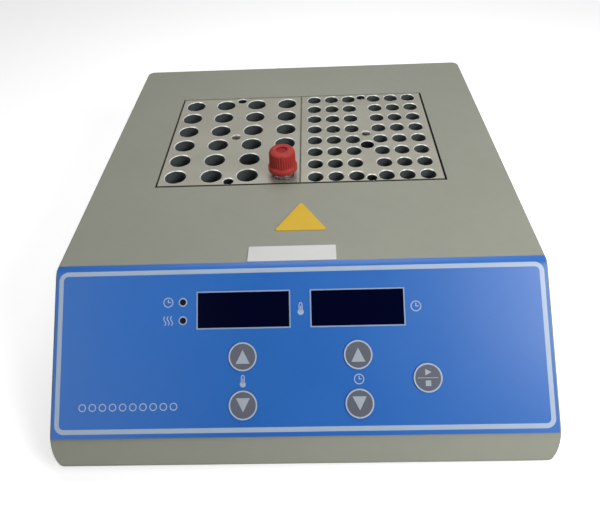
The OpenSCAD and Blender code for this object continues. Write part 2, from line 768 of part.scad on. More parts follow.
// Control panel
module graphic_overlay() {
    low = panel_len - lower_strip;
    color([0.15, 0.4, 0.72]) difference() {
        along_x(body_w - 2 * edge_r) side_outline(-overlay_t);
        along_x(body_w) side_outline(0);
        translate([0, fold_y, top_z]) rotate([panel_angle, 0, 0]) {
            translate([-body_w, overlay_rise, -total_d]) cube([2 * body_w, total_d, 2 * total_d]);
            translate([-body_w, -low - total_d, -total_d]) cube([2 * body_w, total_d, 2 * total_d]);
        }
        translate([-body_w, tip_y - total_d / 2, foot_h - total_d]) cube([2 * body_w, 2 * total_d, total_d]);
        translate([-body_w, back_y - past, 0]) cube([2 * body_w, total_d, 2 * top_z]);
        for (p = display_places)
            on_panel(p.x, p.y) panel_box(window_w + 2 * window_gap, window_h + 2 * window_gap,
                -past, overlay_t + past);
        for (p = key_places) on_panel(p.x, p.y) panel_rod(key_r + key_gap, -past, overlay_t + past);
        for (p = lamp_places)
            on_panel(p.x, p.y) panel_rod(lamp_r + screw_play, -past, overlay_t + past);
    }
}

module window(place) {
    color([0.02, 0.03, 0.12]) on_panel(place.x, place.y) {
        panel_box(window_w, window_h, -sheet - window_gap, overlay_t);
        panel_box(window_w + 2 * window_lip, window_h + 2 * window_lip, window_back_n, -sheet);
    }
}

module temperature_window() {
    window(display_places[0]);
}

module timer_window() {
    window(display_places[1]);
}

// A four-figure display: a moulded block with a lighter face and a shallow recess for each figure
module display_unit(place) {
    w = window_w - 2 * display_margin;
    h = window_h - 2 * display_margin;
    figure_w = w / 4;
    color([0.2, 0.2, 0.22]) on_panel(place.x, place.y) difference() {
        panel_box(w, h, board_n, window_back_n - screw_play);
        for (i = [0 : 3])
            translate([(i - 1.5) * figure_w, 0, 0])
                panel_box(figure_w - 1.6, h - 3, window_back_n - screw_play - 0.4, window_back_n + past);
    }
}

module temperature_display() {
    display_unit(display_places[0]);
}

module timer_display() {
    display_unit(display_places[1]);
}

module indicator_lamps() {
    color([0.25, 0.1, 0.1]) for (p = lamp_places) on_panel(p.x, p.y) {
        panel_rod(lamp_r, window_back_n - past, overlay_t + 0.2);
        panel_rod(lamp_r + 0.6, board_n, window_back_n);
    }
}

module control_board() {
    color([0.1, 0.4, 0.2]) difference() {
        on_panel(0, board_v) panel_box(board_w, board_h, board_back_n, board_n);
        at_standoffs() panel_rod(screw_r + screw_play, board_back_n - past, board_n + past);
    }
}

module board_standoffs() {
    color([0.75, 0.75, 0.76]) at_standoffs() difference() {
        panel_rod(2 * screw_r, board_n, -sheet);
        panel_rod(screw_r + screw_play, board_n - past, -sheet - 1.5);
    }
}

module board_screws() {
    color([0.7, 0.7, 0.72]) at_standoffs() translate([0, 0, board_back_n])
        rotate([180, 0, 0]) screw(screw_r, screw_head_r, screw_head_h, board_t + board_gap - 2);
}

module tact_switches() {
    color([0.15, 0.15, 0.16]) for (p = key_places) on_panel(p.x, p.y) difference() {
        panel_box(tact_size, tact_size, board_n, tact_n);
        panel_rod(tact_well_r, tact_n - tact_well_d, tact_n + past);
    }
}

// A key: round cap, retaining flange behind the sheet and a stem that presses its switch
module key(place) {
    color([0.5, 0.52, 0.56]) on_panel(place.x, place.y) {
        panel_rod(key_r, key_flange_n - key_flange_t / 2, overlay_t + key_proud);
        panel_rod(key_flange_r, key_flange_n - key_flange_t, key_flange_n);
        panel_rod(stem_r, stem_end_n, key_flange_n - key_flange_t / 2);
    }
}

module temp_up_key() {
    key(key_places[0]);
}

module temp_down_key() {
    key(key_places[1]);
}

module time_up_key() {
    key(key_places[2]);
}

module time_down_key() {
    key(key_places[3]);
}

module start_stop_key() {
    key(key_places[4]);
}

// Well and heater
module well_liner() {
    color([0.75, 0.76, 0.76]) difference() {
        box_at(0, well_y, mat_z, [liner_out_w, liner_out_d, top_z - sheet - mat_z]);
        box_at(0, well_y, mat_z - past, [liner_in_w, liner_in_d, shell_h]);
        translate([0, well_y, probe_z]) rotate([90, 0, 0]) cylinder(h = well_d, r = probe_r + 0.3);
    }
}

module insulation_wrap() {
    color([0.9, 0.88, 0.8]) difference() {
        box_at(0, well_y, floor_z, [wrap_out_w, wrap_out_d, wrap_top - floor_z]);
        box_at(0, well_y, floor_z - past, [wrap_in_w, wrap_in_d, shell_h]);
        translate([0, well_y, probe_z]) rotate([90, 0, 0]) cylinder(h = well_d, r = probe_r + 0.3);
        for (x = [-heater_lead_x, heater_lead_x])
            translate([x, well_y, heater_lead_z]) rotate([90, 0, 0]) cylinder(h = well_d, r = lead_r + 0.3);
        at_feet() translate([0, 0, floor_z - past]) cylinder(h = nut_t + 2 * past, r = 2.5 * big_screw_r);
    }
}

module insulation_pad() {
    color([0.9, 0.88, 0.8]) difference() {
        box_at(0, well_y, floor_z, [liner_out_w, liner_out_d, mat_z - floor_z]);
        at_posts() translate([0, 0, floor_z - past]) cylinder(h = shell_h / 2, r = post_r + 0.3);
        translate([cutout_x, well_y, floor_z - past]) cylinder(h = shell_h / 2, r = cutout_r + 0.3);
        for (x = [-heater_lead_x, heater_lead_x])
            translate([x, well_y - well_d / 2 + heater_lead_in, 0]) {
                translate([0, 0, heater_lead_z]) cylinder(h = shell_h / 2, r = lead_r + 0.3);
                translate([0, 0, heater_lead_z]) rotate([90, 0, 0]) cylinder(h = well_d, r = lead_r + 0.3);
                translate([0, 0, heater_lead_z]) sphere(lead_r + 0.3);
            }
    }
}

module heater_plate() {
    color([0.8, 0.81, 0.82]) difference() {
        box_at(0, well_y, heater_z, [heater_w, heater_d, heater_t]);
        at_guides() translate([0, 0, heater_top - guide_pin_sink])
            cylinder(h = guide_pin_sink + past, r = guide_pin_r + 0.02);
        at_posts() translate([0, 0, heater_z - past])
            cylinder(h = heater_screw_in + 2 * past, r = big_screw_r + screw_play / 2);
        translate([0, well_y - heater_d / 2 - past, probe_z]) rotate([-90, 0, 0])
            cylinder(h = probe_l - wrap_t + past, r = probe_r + screw_play);
    }
}

module heater_mat() {
    color([0.75, 0.3, 0.12]) difference() {
        box_at(0, well_y, mat_z, [heater_w - 2 * mat_margin, heater_d - 2 * mat_margin, mat_t]);
        at_posts() sheet_hole(post_r + 0.3, mat_z, mat_t);
        translate([cutout_x, well_y, 0]) sheet_hole(cutout_r + 0.3, mat_z, mat_t);
    }
}

module heater_standoffs() {
    color([0.75, 0.75, 0.76]) at_posts() difference() {
        translate([0, 0, floor_z]) cylinder(h = heater_z - floor_z, r = post_r);
        translate([0, 0, floor_z - past]) cylinder(h = shell_h / 2, r = big_screw_r + screw_play);
    }
}

module heater_screws() {
    color([0.7, 0.7, 0.72]) at_posts() translate([0, 0, base_z])
        rotate([180, 0, 0])
            screw(big_screw_r, big_head_r, screw_head_h, heater_z + heater_screw_in - base_z);
}

module locating_pins() {
    color([0.78, 0.79, 0.8]) at_guides() translate([0, 0, heater_top - guide_pin_sink]) {
        cylinder(h = guide_pin_sink + guide_pin_h - chamfer, r = guide_pin_r);
        translate([0, 0, guide_pin_sink + guide_pin_h - chamfer])
            cylinder(h = chamfer, r1 = guide_pin_r, r2 = guide_pin_r - chamfer);
    }
}

module temperature_probe() {
    out_y = well_y - wrap_out_d / 2 - 4;
    in_y = out_y + probe_l;
    drop_z = power_z + board_t;
    color([0.8, 0.8, 0.82]) translate([0, in_y, probe_z]) rotate([90, 0, 0])
        cylinder(h = probe_l, r = probe_r);
    color([0.85, 0.85, 0.85])
        lead([[0, out_y + past, probe_z], [0, out_y - power_gap, probe_z], [0, out_y - power_gap, drop_z]]);
}

module thermal_cutout() {
    color([0.2, 0.16, 0.12]) translate([cutout_x, well_y, heater_z - cutout_h]) {
        cylinder(h = cutout_h, r = cutout_r);
        for (x = [-4, 4])
            translate([x - 2, -0.4, -2]) cube([4, 0.8, 2 + past]);
    }
}

// Blocks
module block_blank(x) {
    w = block_w / 2;
    d = block_d / 2;
    intersection() {
        translate([0, well_y, 0]) along_x(body_w) chamfered(d);
        translate([x, 0, 0]) along_y(well_y - block_d, well_y + block_d) chamfered(w);
    }
}

// Outline of a block from one side, with its upper corners chamfered
module chamfered(half) {
    polygon([[-half, heater_top], [half, heater_top], [half, top_z - chamfer],
        [half - chamfer, top_z], [chamfer - half, top_z], [-half, top_z - chamfer]]);
}

// A blind hole with a chamfered mouth at the top of a block and a drilled point
module blind_hole(r, depth) {
    translate([0, 0, top_z]) rotate_extrude()
        polygon([[0, past], [r + chamfer + past, past], [r, -chamfer], [r, -depth],
            [0, -depth - r * tan(30)]]);
}

module guide_holes(x) {
    for (y = [-guide_y, guide_y]) translate([x, well_y + y, 0]) {
        translate([0, 0, heater_top - past]) cylinder(h = block_h + 2 * past, r = guide_hole_r);
        translate([0, 0, top_z - chamfer]) cylinder(h = chamfer + past, r1 = guide_hole_r,
            r2 = guide_hole_r + chamfer + past);
    }
}

module left_block() {
    color([0.68, 0.67, 0.62]) difference() {
        block_blank(-block_x);
        for (i = [0.5 - big_columns : big_columns - 0.5], j = [0 : big_rows - 1])
            translate([i * big_pitch_x - block_x, well_y + (j - (big_rows - 1) / 2) * big_pitch_y, 0])
                blind_hole(big_hole_r, big_hole_depth);
        translate([-block_x, well_y, 0]) blind_hole(lift_r, lift_depth);
        guide_holes(-block_x);
    }
}

module right_block() {
    columns = [for (side = [-1, 1], i = [0 : small_columns - 1])
        side * (lane_w / 2 + i * small_pitch_x)];
    color([0.68, 0.67, 0.62]) difference() {
        block_blank(block_x);
        for (c = columns, j = [0 : small_rows - 1])
            translate([block_x + c, well_y + (j - (small_rows - 1) / 2) * small_pitch_y, 0])
                blind_hole(small_hole_r, small_hole_depth);
        translate([block_x, well_y, 0]) blind_hole(lift_r, lift_depth);
        translate([block_x, well_y - probe_hole_y, 0]) blind_hole(probe_hole_r, probe_hole_depth);
        guide_holes(block_x);
    }
}

// Sample tube
module sample_tube() {
    color([0.85, 0.88, 0.9, 0.5]) translate([tube_x, tube_y, 0]) rotate_extrude()
        polygon([[0, tube_bottom], [1.5, tube_bottom], [tube_r, tube_bottom + tube_cone_h],
            [tube_r, cap_z - 1], [neck_r, cap_z - 0.6], [neck_r, neck_top],
            [neck_r - tube_wall, neck_top], [neck_r - tube_wall, cap_z - 1],
            [tube_r - tube_wall, cap_z - 2], [tube_r - tube_wall, tube_bottom + tube_cone_h + 0.4],
            [1, tube_bottom + tube_wall], [0, tube_bottom + tube_wall]]);
}

module cap_liner() {
    color([0.6, 0.1, 0.1]) translate([tube_x, tube_y, neck_top + seal_gap]) cylinder(h = seal_t, r = neck_r);
}

module tube_cap() {
    top = cap_z + cap_h;
    color([0.75, 0.2, 0.2]) translate([tube_x, tube_y, 0]) difference() {
        union() {
            translate([0, 0, cap_z]) cylinder(h = cap_rim_h - 0.6, r = cap_rim_r);
            translate([0, 0, cap_z + cap_rim_h - 0.6]) cylinder(h = 0.6, r1 = cap_rim_r, r2 = cap_r);
            translate([0, 0, cap_z]) cylinder(h = cap_h - cap_shoulder, r = cap_r);
            translate([0, 0, top - cap_shoulder])
                cylinder(h = cap_shoulder, r1 = cap_r, r2 = cap_r - cap_shoulder);
            translate([0, 0, cap_z + 1]) linear_extrude(cap_h - cap_shoulder - 1)
                for (i = [0 : rib_count - 1])
                    rotate(i * 360 / rib_count) translate([cap_r - 0.5, -0.25]) square([0.5 + rib_h, 0.5]);
        }
        translate([0, 0, cap_z - past]) cylinder(h = cap_ceiling - cap_z + past, r = neck_r + cap_gap);
        translate([0, 0, top - cap_recess_d]) cylinder(h = cap_recess_d + past, r = cap_recess_r);
    }
}

// Power electronics
module power_board() {
    color([0.1, 0.4, 0.2]) difference() {
        box_at(0, power_y, power_z, [power_w, power_d, board_t]);
        at_spacers() sheet_hole(screw_r + screw_play, power_z, board_t);
    }
}

// Nylon spacers that stand on the base plate and hold the board with a pin and a head
module power_board_spacers() {
    color([0.92, 0.92, 0.9]) at_spacers() {
        translate([0, 0, floor_z]) cylinder(h = power_lift, r = spacer_r);
        translate([0, 0, floor_z]) cylinder(h = power_lift + board_t + 1, r = screw_r);
        translate([0, 0, part_z]) cylinder(h = 1, r = screw_r + 0.6);
    }
}

module transformer() {
    color([0.13, 0.13, 0.14]) translate([transformer_x, power_y, part_z]) difference() {
        linear_extrude(transformer_h) round_rect(transformer_w, transformer_d, 1.5);
        for (x = [-1, 1])
            translate([x * transformer_w / 4, 0, transformer_h - 1]) cylinder(h = 2, r = 2);
    }
}

module relay() {
    color([0.15, 0.3, 0.6]) translate([relay_x, relay_y, part_z]) linear_extrude(relay_size.z)
        round_rect(relay_size.x, relay_size.y, 0.8);
}

module terminal_block() {
    pitch = terminal_w / 5;
    color([0.2, 0.55, 0.35]) difference() {
        box_at(terminal_x, terminal_y, part_z, [terminal_w, terminal_d, terminal_h]);
        for (i = [-2 : 2]) translate([terminal_x + i * pitch, terminal_y, part_z + terminal_h - 3])
            cylinder(h = 4, r = 1.8);
    }
}

module filter_capacitor() {
    color([0.12, 0.12, 0.3]) translate([cap_can_x, cap_can_y, part_z])
        cylinder(h = cap_can_h, r = cap_can_r);
}

// An insulated lead along a list of points
module lead(pts) {
    for (i = [0 : len(pts) - 2]) {
        run = pts[i + 1] - pts[i];
        length = norm(run);
        translate(pts[i]) rotate([0, acos(run.z / length), atan2(run.y, run.x)])
            cylinder(h = length, r = lead_r, $fn = 24);
        if (i > 0) translate(pts[i]) sphere(lead_r, $fn = 24);
    }
}

module mains_leads() {
    pitch = terminal_w / 5;
    color([0.35, 0.25, 0.12]) for (i = [0 : 2]) {
        z = part_z + lead_r + 1.6 + i * lead_pitch;
        side = lead_side_x + (i - 1) * lead_pitch;
        start = inlet_x + (i - 1) * pin_pitch;
        pin_z = socket_z + (i == 1 ? pin_offset : 0) - pin_offset / 2;
        end = terminal_x + i * pitch;
        back = lead_back_y - i * lead_r / 4;
        lead([[start, pin_back_y, pin_z], [start, back, pin_z], [start, back, z], [side, back, z],
            [side, lead_front_y + i * lead_pitch, z], [end, lead_front_y + i * lead_pitch, z],
            [end, terminal_y + terminal_d / 2, z]]);
    }
}

module heater_leads() {
    start_y = well_y - well_d / 2 + heater_lead_in;
    pitch = terminal_w / 5;
    color([0.8, 0.8, 0.78]) for (i = [0, 1]) {
        x = (2 * i - 1) * heater_lead_x;
        end = terminal_x - (2 - i) * pitch;
        z = part_z + 3 + i * lead_pitch;
        out_y = well_y - wrap_out_d / 2 - 2 - (1 - i) * lead_pitch;
        lead([[x, start_y, mat_z], [x, start_y, heater_lead_z], [x, out_y, heater_lead_z],
            [x, out_y, z], [end, out_y, z], [end, terminal_y + terminal_d / 2, z]]);
    }
}

// Flat cable from the control board down to the power board
module ribbon_cable() {
    out_n = board_back_n - ribbon_out;
    top_v = (top_z + out_n * cos(panel_angle) - part_z - ribbon_rise) / sin(panel_angle);
    start = [fold_y - top_v * cos(panel_angle) - board_back_n * sin(panel_angle),
        top_z - top_v * sin(panel_angle) + board_back_n * cos(panel_angle)];
    knee = start + ribbon_out * [sin(panel_angle), -cos(panel_angle)];
    foot = [power_y - power_d / 2 + 2.5, part_z];
    color([0.6, 0.6, 0.62]) translate([transformer_x, 0, 0]) along_x(ribbon_w) {
        ribbon_run(start, knee);
        ribbon_run(knee, [foot.x, knee.y]);
        ribbon_run([foot.x, knee.y], foot);
        for (p = [knee, [foot.x, knee.y]]) translate(p) circle(ribbon_t / 2);
    }
}

module ribbon_run(p, q) {
    translate(p) rotate(atan2(q.y - p.y, q.x - p.x)) translate([0, -ribbon_t / 2])
        square([norm(q - p), ribbon_t]);
}

// Rear fittings. Each outline below is drawn in the plane of the rear panel.
module inlet_core(grow) {
    w = max(socket_w, drawer_w + 2 * drawer_gap) + 2 * inlet_wall + 2 * grow;
    low = drawer_z - slot_half_h - inlet_wall - grow;
    high = socket_z + socket_h / 2 + inlet_wall + grow;
    translate([-w / 2, low]) square([w, high - low]);
}

module socket_outline() {
    w = socket_w / 2;
    h = socket_h / 2;
    cut = socket_h / 4;
    translate([0, socket_z])
        polygon([[-w, -h], [w, -h], [w, h - cut], [w - cut, h], [cut - w, h], [-w, h - cut]]);
}

module at_pins() {
    for (i = [-1 : 1])
        translate([inlet_x + i * pin_pitch, 0, socket_z + (i == 0 ? pin_offset : 0) - pin_offset / 2])
            children();
}

module mains_inlet() {
    mouth_w = drawer_w + 2 * drawer_gap;
    color([0.1, 0.1, 0.1]) difference() {
        translate([inlet_x, 0, 0]) {
            along_y(inner_y, inlet_face_y) translate([0, inlet_z]) round_rect(inlet_w, inlet_h, 3);
            along_y(inlet_back_y, inner_y + past) inlet_core(0);
        }
        translate([inlet_x, 0, 0]) along_y(inlet_face_y - socket_d, inlet_face_y + past) socket_outline();
        translate([inlet_x - mouth_w / 2, slot_back_y, drawer_z - slot_half_h])
            cube([mouth_w, drawer_l + drawer_gap + past, 2 * slot_half_h]);
        at_pins() translate([-1.05, inlet_back_y - past, -2.05]) cube([2.1, socket_d, 4.1]);
        for (x = [-inlet_screw_x, inlet_screw_x])
            translate([inlet_x + x, inlet_face_y, inlet_z]) rotate([-90, 0, 0])
                screw_hole(screw_r, inlet_flange_t + past);
    }
}

module inlet_pins() {
    pin_end_y = inlet_face_y - 6;
    color([0.8, 0.8, 0.78]) at_pins() translate([-1, pin_back_y, -2]) cube([2, pin_end_y - pin_back_y, 4]);
}

module inlet_screws() {
    color([0.7, 0.7, 0.72]) for (x = [-inlet_screw_x, inlet_screw_x])
        translate([inlet_x + x, inlet_face_y, inlet_z]) rotate([-90, 0, 0])
            screw(screw_r, screw_head_r, min(screw_head_h, drawer_proud), inlet_flange_t + rear_t + nut_t);
}

module fuse_drawer() {
    pocket_w = fuse_l + 0.4;
    color([0.14, 0.14, 0.15]) translate([inlet_x, 0, drawer_z]) difference() {
        translate([-drawer_w / 2, inlet_face_y - drawer_l, -drawer_h / 2])
            cube([drawer_w, drawer_l + drawer_proud, drawer_h]);
        translate([-pocket_w / 2, fuse_y - fuse_r - 0.3, -fuse_r - 0.1])
            cube([pocket_w, 2 * fuse_r + 0.6, drawer_h]);
        translate([-4, inlet_face_y + drawer_proud - 1.2, drawer_h / 2 - 1.5]) cube([8, 2, 2]);
    }
}

module fuse() {
    color([0.85, 0.87, 0.88]) translate([inlet_x - fuse_l / 2, fuse_y, drawer_z]) rotate([0, 90, 0])
        cylinder(h = fuse_l, r = fuse_r);
}

module switch_body() {
    w = switch_in_w + 2 * switch_wall;
    h = switch_in_h + 2 * switch_wall;
    color([0.1, 0.1, 0.1]) difference() {
        union() {
            translate([switch_x, 0, switch_z]) along_y(inner_y, inner_y + bezel_t)
                round_rect(w + 2 * bezel_lip, h + 2 * bezel_lip, 2);
            box_at(switch_x, inner_y - switch_depth / 2, switch_z - h / 2, [w, switch_depth, h]);
            for (z = [-h / 4, h / 4])
                box_at(switch_x, inner_y - switch_depth - tab_l / 2, switch_z + z - 2.4,
                    [0.8, tab_l + past, 4.8]);
        }
        translate([switch_x - switch_in_w / 2, pivot_y - 8, switch_z - switch_in_h / 2])
            cube([switch_in_w, switch_depth, switch_in_h]);
        translate([switch_x - w / 2 - past, pivot_y, switch_z]) rotate([0, 90, 0])
            cylinder(h = w + 2 * past, r = pivot_r + pivot_play);
    }
}

module power_rocker() {
    pin_l = switch_in_w + 2 * switch_wall - 0.6;
    color([0.16, 0.16, 0.17]) translate([switch_x, pivot_y, switch_z]) rotate([rocker_tilt, 0, 0]) {
        along_x(rocker_w) {
            polygon([[-rocker_keel, -3], [-rocker_keel, 3], [3.5, rocker_l - 0.6], [rocker_rise, rocker_l],
                [rocker_dip, 0], [rocker_rise, -rocker_l], [3.5, 0.6 - rocker_l]]);
            circle(rocker_keel + 0.6);
        }
        translate([-pin_l / 2, 0, 0]) rotate([0, 90, 0]) cylinder(h = pin_l, r = pivot_r);
    }
}

top_cover();
base_plate();
rear_panel();
rubber_feet();
foot_screws();
foot_nuts();
cover_screws();
cover_nuts();
rear_screws();
rear_nuts();
name_plate();
triangle_marker();
graphic_overlay();
temperature_window();
timer_window();
temperature_display();
timer_display();
indicator_lamps();
control_board();
board_standoffs();
board_screws();
tact_switches();
well_liner();
insulation_wrap();
insulation_pad();
heater_plate();
heater_mat();
heater_standoffs();
heater_screws();
locating_pins();
temperature_probe();
thermal_cutout();
power_board();
power_board_spacers();
transformer();
relay();
terminal_block();
filter_capacitor();
mains_inlet();
inlet_pins();
inlet_screws();
switch_body();
mains_leads();
heater_leads();
ribbon_cable();
left_block();
right_block();
temp_up_key();
temp_down_key();
time_up_key();
time_down_key();
start_stop_key();
power_rocker();
fuse_drawer();
fuse();
sample_tube();
cap_liner();
tube_cap();
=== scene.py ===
"""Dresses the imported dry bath: painted housing, printed control panel, keys, tube blocks and studio.

Every size in a class is in millimetres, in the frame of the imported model. A mesh is turned into
metres when it becomes a piece.
"""

import json
import logging
import math
from dataclasses import dataclass
from enum import Enum
from functools import partial
from typing import Any, Callable, Iterable, Optional, Sequence

import bmesh
import bpy
from mathutils import Matrix, Vector

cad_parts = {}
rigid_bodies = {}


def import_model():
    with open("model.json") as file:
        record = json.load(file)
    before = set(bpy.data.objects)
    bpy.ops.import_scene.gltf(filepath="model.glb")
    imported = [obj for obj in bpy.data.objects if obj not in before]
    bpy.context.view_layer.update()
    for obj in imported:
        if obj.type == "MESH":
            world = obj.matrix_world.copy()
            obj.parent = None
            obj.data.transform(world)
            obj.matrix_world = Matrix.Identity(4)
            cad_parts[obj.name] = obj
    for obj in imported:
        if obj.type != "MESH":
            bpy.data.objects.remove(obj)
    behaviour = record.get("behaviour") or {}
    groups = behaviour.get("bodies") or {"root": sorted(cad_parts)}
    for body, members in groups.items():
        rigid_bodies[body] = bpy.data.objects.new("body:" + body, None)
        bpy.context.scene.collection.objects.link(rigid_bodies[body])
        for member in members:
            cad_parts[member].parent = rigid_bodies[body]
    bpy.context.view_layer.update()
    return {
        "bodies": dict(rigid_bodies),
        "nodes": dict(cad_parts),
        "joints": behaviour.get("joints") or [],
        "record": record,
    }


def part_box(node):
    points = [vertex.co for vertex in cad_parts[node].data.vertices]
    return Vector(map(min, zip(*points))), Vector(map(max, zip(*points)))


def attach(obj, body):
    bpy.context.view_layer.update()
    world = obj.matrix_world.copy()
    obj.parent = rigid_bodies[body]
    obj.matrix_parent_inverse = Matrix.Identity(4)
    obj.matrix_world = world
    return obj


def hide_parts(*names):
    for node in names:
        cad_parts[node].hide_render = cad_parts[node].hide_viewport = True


MM = 0.001
HOUSING = "housing"
LOG = logging.getLogger("dry_bath")
BLOCK_SIDES = ((-1, "left_block"), (1, "right_block"))
JOINED_M = 1e-6
COAT_ROUGHNESS = 0.12
SCATTER_M = 0.002
FLECKS_PER_CLOUD = 12

Colour = tuple[float, float, float]
Point = tuple[float, float]
Edges = tuple[float, float, float, float]
Mesh = bpy.types.Mesh
Socket = bpy.types.NodeSocket


def linear(colour: Colour) -> tuple[float, float, float, float]:
    """Turns a colour as it looks on a screen into the values that the shaders work in.

    Args:
        colour: Red, green and blue from 0 to 255.

    Returns:
        Red, green, blue and an alpha of 1.
    """
    parts = [value / 255 for value in colour]
    bright = [p / 12.92 if p <= 0.04045 else ((p + 0.055) / 1.055) ** 2.4 for p in parts]
    return (bright[0], bright[1], bright[2], 1.0)


class NodeWork:
    """A node tree that is put together in few words, for a material or for geometry."""

    def __init__(self, tree: bpy.types.NodeTree) -> None:
        """Starts with an empty tree.

        Args:
            tree: The tree to fill.
        """
        self.tree = tree
        self.tree.nodes.clear()

    def add(self, kind: str, values: Optional[dict[Any, Any]] = None,
            **settings: Any) -> bpy.types.Node:
        """Adds a node.

        Args:
            kind: The node's type.
            values: Its inputs by name or number: a number, a colour, or the output that feeds it.
            **settings: Its options.

        Returns:
            The new node.
        """
        node = self.tree.nodes.new(kind)
        for option, value in settings.items():
            setattr(node, option, value)
        for socket, value in (values or {}).items():
            if isinstance(value, Socket):
                self.tree.links.new(value, node.inputs[socket])
            else:
                node.inputs[socket].default_value = value
        return node

    def sum(self, operation: str, first: Any, second: Any = 0.0) -> Socket:
        """Returns the result of one Math node on two values."""
        return self.add("ShaderNodeMath", {0: first, 1: second}, operation=operation).outputs[0]

    def span(self, value: Any, low: float, high: float, to_low: Any, to_high: Any) -> Socket:
        """Carries a value smoothly over from one range to another.

        Args:
            value: The value.
            low: Start of its range.
            high: End of its range.
            to_low: The result at the start.
            to_high: The result at the end.

        Returns:
            The output with the result.
        """
        return self.add(
            "ShaderNodeMapRange",
            {"Value": value, "From Min": low, "From Max": high, "To Min": to_low, "To Max": to_high},
            interpolation_type="SMOOTHSTEP",
        ).outputs["Result"]


class Grain(Enum):
    """The fine relief of a surface."""

    PEEL = "powder coat"
    FILM = "printed film"
    BLASTED = "bead-blasted metal"
    BRUSHED = "brushed metal"
    MOULDED = "moulded plastic"
    FIBROUS = "pressed fibre"
    SPANGLED = "zinc flowers"


@dataclass(frozen=True)
class Finish:
    """A surface finish with its colour, tone, relief and gloss."""

    grain: Grain
    name: str
    colour: Colour
    roughness: float
    grain_mm: float
    relief_mm: float
    tone: float
    tone_mm: float
    scuffs: float
    metallic: float = 0.0
    coat: float = 0.0
    specular: float = 0.5
    clear: float = 0.0
    glow_through: float = 0.0
    soft_edge_mm: float = 0.0

    def material(self) -> bpy.types.Material:
        """Makes the material, or finds it if it was made before.

        Returns:
            The material.
        """
        made = bpy.data.materials.get(self.name)
        if made is not None:
            return made
        made = bpy.data.materials.new(self.name)
        made.use_nodes = True
        work = NodeWork(made.node_tree)
        place = work.add("ShaderNodeTexCoord").outputs["Object"]
        clouds = self._noise(work, place, self.tone_mm, 3.0)
        flecks = self._noise(work, place, self.tone_mm / FLECKS_PER_CLOUD, 2.0)
        relief = self._relief(work, place)
        skin: dict[Any, Any] = {
            "Base Color": self._base_colour(work, clouds, flecks, relief),
            "Metallic": self.metallic,
            "Roughness": self._gloss(work, place, clouds),
            "Specular IOR Level": self.specular,
            "Coat Weight": self.coat,
            "Coat Roughness": COAT_ROUGHNESS,
            "Transmission Weight": self.clear,
            "Subsurface Weight": self.glow_through,
            "Subsurface Scale": SCATTER_M,
            "Normal": self._normal(work, relief),
        }
        shader = work.add("ShaderNodeBsdfPrincipled", skin)
        work.add("ShaderNodeOutputMaterial", {"Surface": shader.outputs[0]})
        return made

    def _noise(self, work: NodeWork, place: Any, size_mm: float, detail: float) -> Socket:
        """Adds noise.

        Args:
            work: The tree.
            place: The coordinates that it reads.
            size_mm: How wide its blobs are.
            detail: How fine it goes.

        Returns:
            Its output.
        """
        values = {"Vector": place, "Scale": 1 / (size_mm * MM), "Detail": detail, "Roughness": 0.55}
        return work.add("ShaderNodeTexNoise", values).outputs["Fac"]

    def _relief(self, work: NodeWork, place: Any) -> Socket:
        """Adds the fine relief.

        Args:
            work: The tree.
            place: The coordinates that it reads.

        Returns:
            Its height, from 0 to 1.
        """
        drawn = {Grain.BRUSHED: ((0.04, 1.0, 1.0), 4.0), Grain.FIBROUS: ((0.3, 1.0, 0.6), 6.0)}
        if self.grain in drawn:
            stretch, detail = drawn[self.grain]
            place = work.add("ShaderNodeMapping", {"Vector": place, "Scale": stretch}).outputs[0]
            return self._noise(work, place, self.grain_mm, detail)
        if self.grain in (Grain.SPANGLED, Grain.BLASTED):
            values = {"Vector": place, "Scale": 1 / (self.grain_mm * MM), "Randomness": 1.0}
            return work.add("ShaderNodeTexVoronoi", values).outputs["Distance"]
        return self._noise(work, place, self.grain_mm, 2.5 if self.grain is Grain.PEEL else 5.0)

    def _base_colour(self, work: NodeWork, clouds: Any, flecks: Any, relief: Any) -> Socket:
        """Makes the colour a little lighter and darker from place to place.

        Args:
            work: The tree.
            clouds: The broad tones.
            flecks: The small tones.
            relief: The fine relief.

        Returns:
            The colour.
        """
        shade = work.sum("ADD", work.sum("MULTIPLY", clouds, 0.7), work.sum("MULTIPLY", flecks, 0.3))
        if self.grain in (Grain.SPANGLED, Grain.BLASTED, Grain.FIBROUS):
            shade = work.sum("ADD", work.sum("MULTIPLY", shade, 0.6), work.sum("MULTIPLY", relief, 0.4))
        level = work.span(shade, 0.25, 0.75, 0.0, 1.0)
        low, high = (
            tuple(min(1.0, c * (1 + change)) for c in linear(self.colour)[:3]) + (1.0,)
            for change in (-self.tone, self.tone)
        )
        return work.add("ShaderNodeMix", {0: level, 6: low, 7: high}, data_type="RGBA").outputs[2]

    def _gloss(self, work: NodeWork, place: Any, clouds: Any) -> Socket:
        """Adds handling marks and light scuffs to the gloss.

        Args:
            work: The tree.
            place: The coordinates that the scuffs read.
            clouds: The broad tones.

        Returns:
            The roughness.
        """
        drawn = {"Vector": place, "Rotation": (0.3, 0.5, 0.7), "Scale": (1.0, 0.08, 1.0)}
        scratches = self._noise(work, work.add("ShaderNodeMapping", drawn).outputs[0], 1.1, 6.0)
        marks = work.span(scratches, 0.58, 0.72, 0.0, self.scuffs)
        handled = work.span(clouds, 0.3, 0.7, self.roughness * 0.92, self.roughness * 1.08)
        return work.sum("ADD", handled, marks)

    def _normal(self, work: NodeWork, relief: Any) -> Socket:
        """Adds the relief, and edges that look softened where asked.

        Args:
            work: The tree.
            relief: The fine relief.

        Returns:
            The normal.
        """
        values = {"Height": relief, "Distance": self.relief_mm * MM, "Strength": 1.0}
        if self.soft_edge_mm > 0:
            edge = work.add("ShaderNodeBevel", {"Radius": self.soft_edge_mm * MM}, samples=4)
            values["Normal"] = edge.outputs[0]
        return work.add("ShaderNodeBump", values).outputs[0]


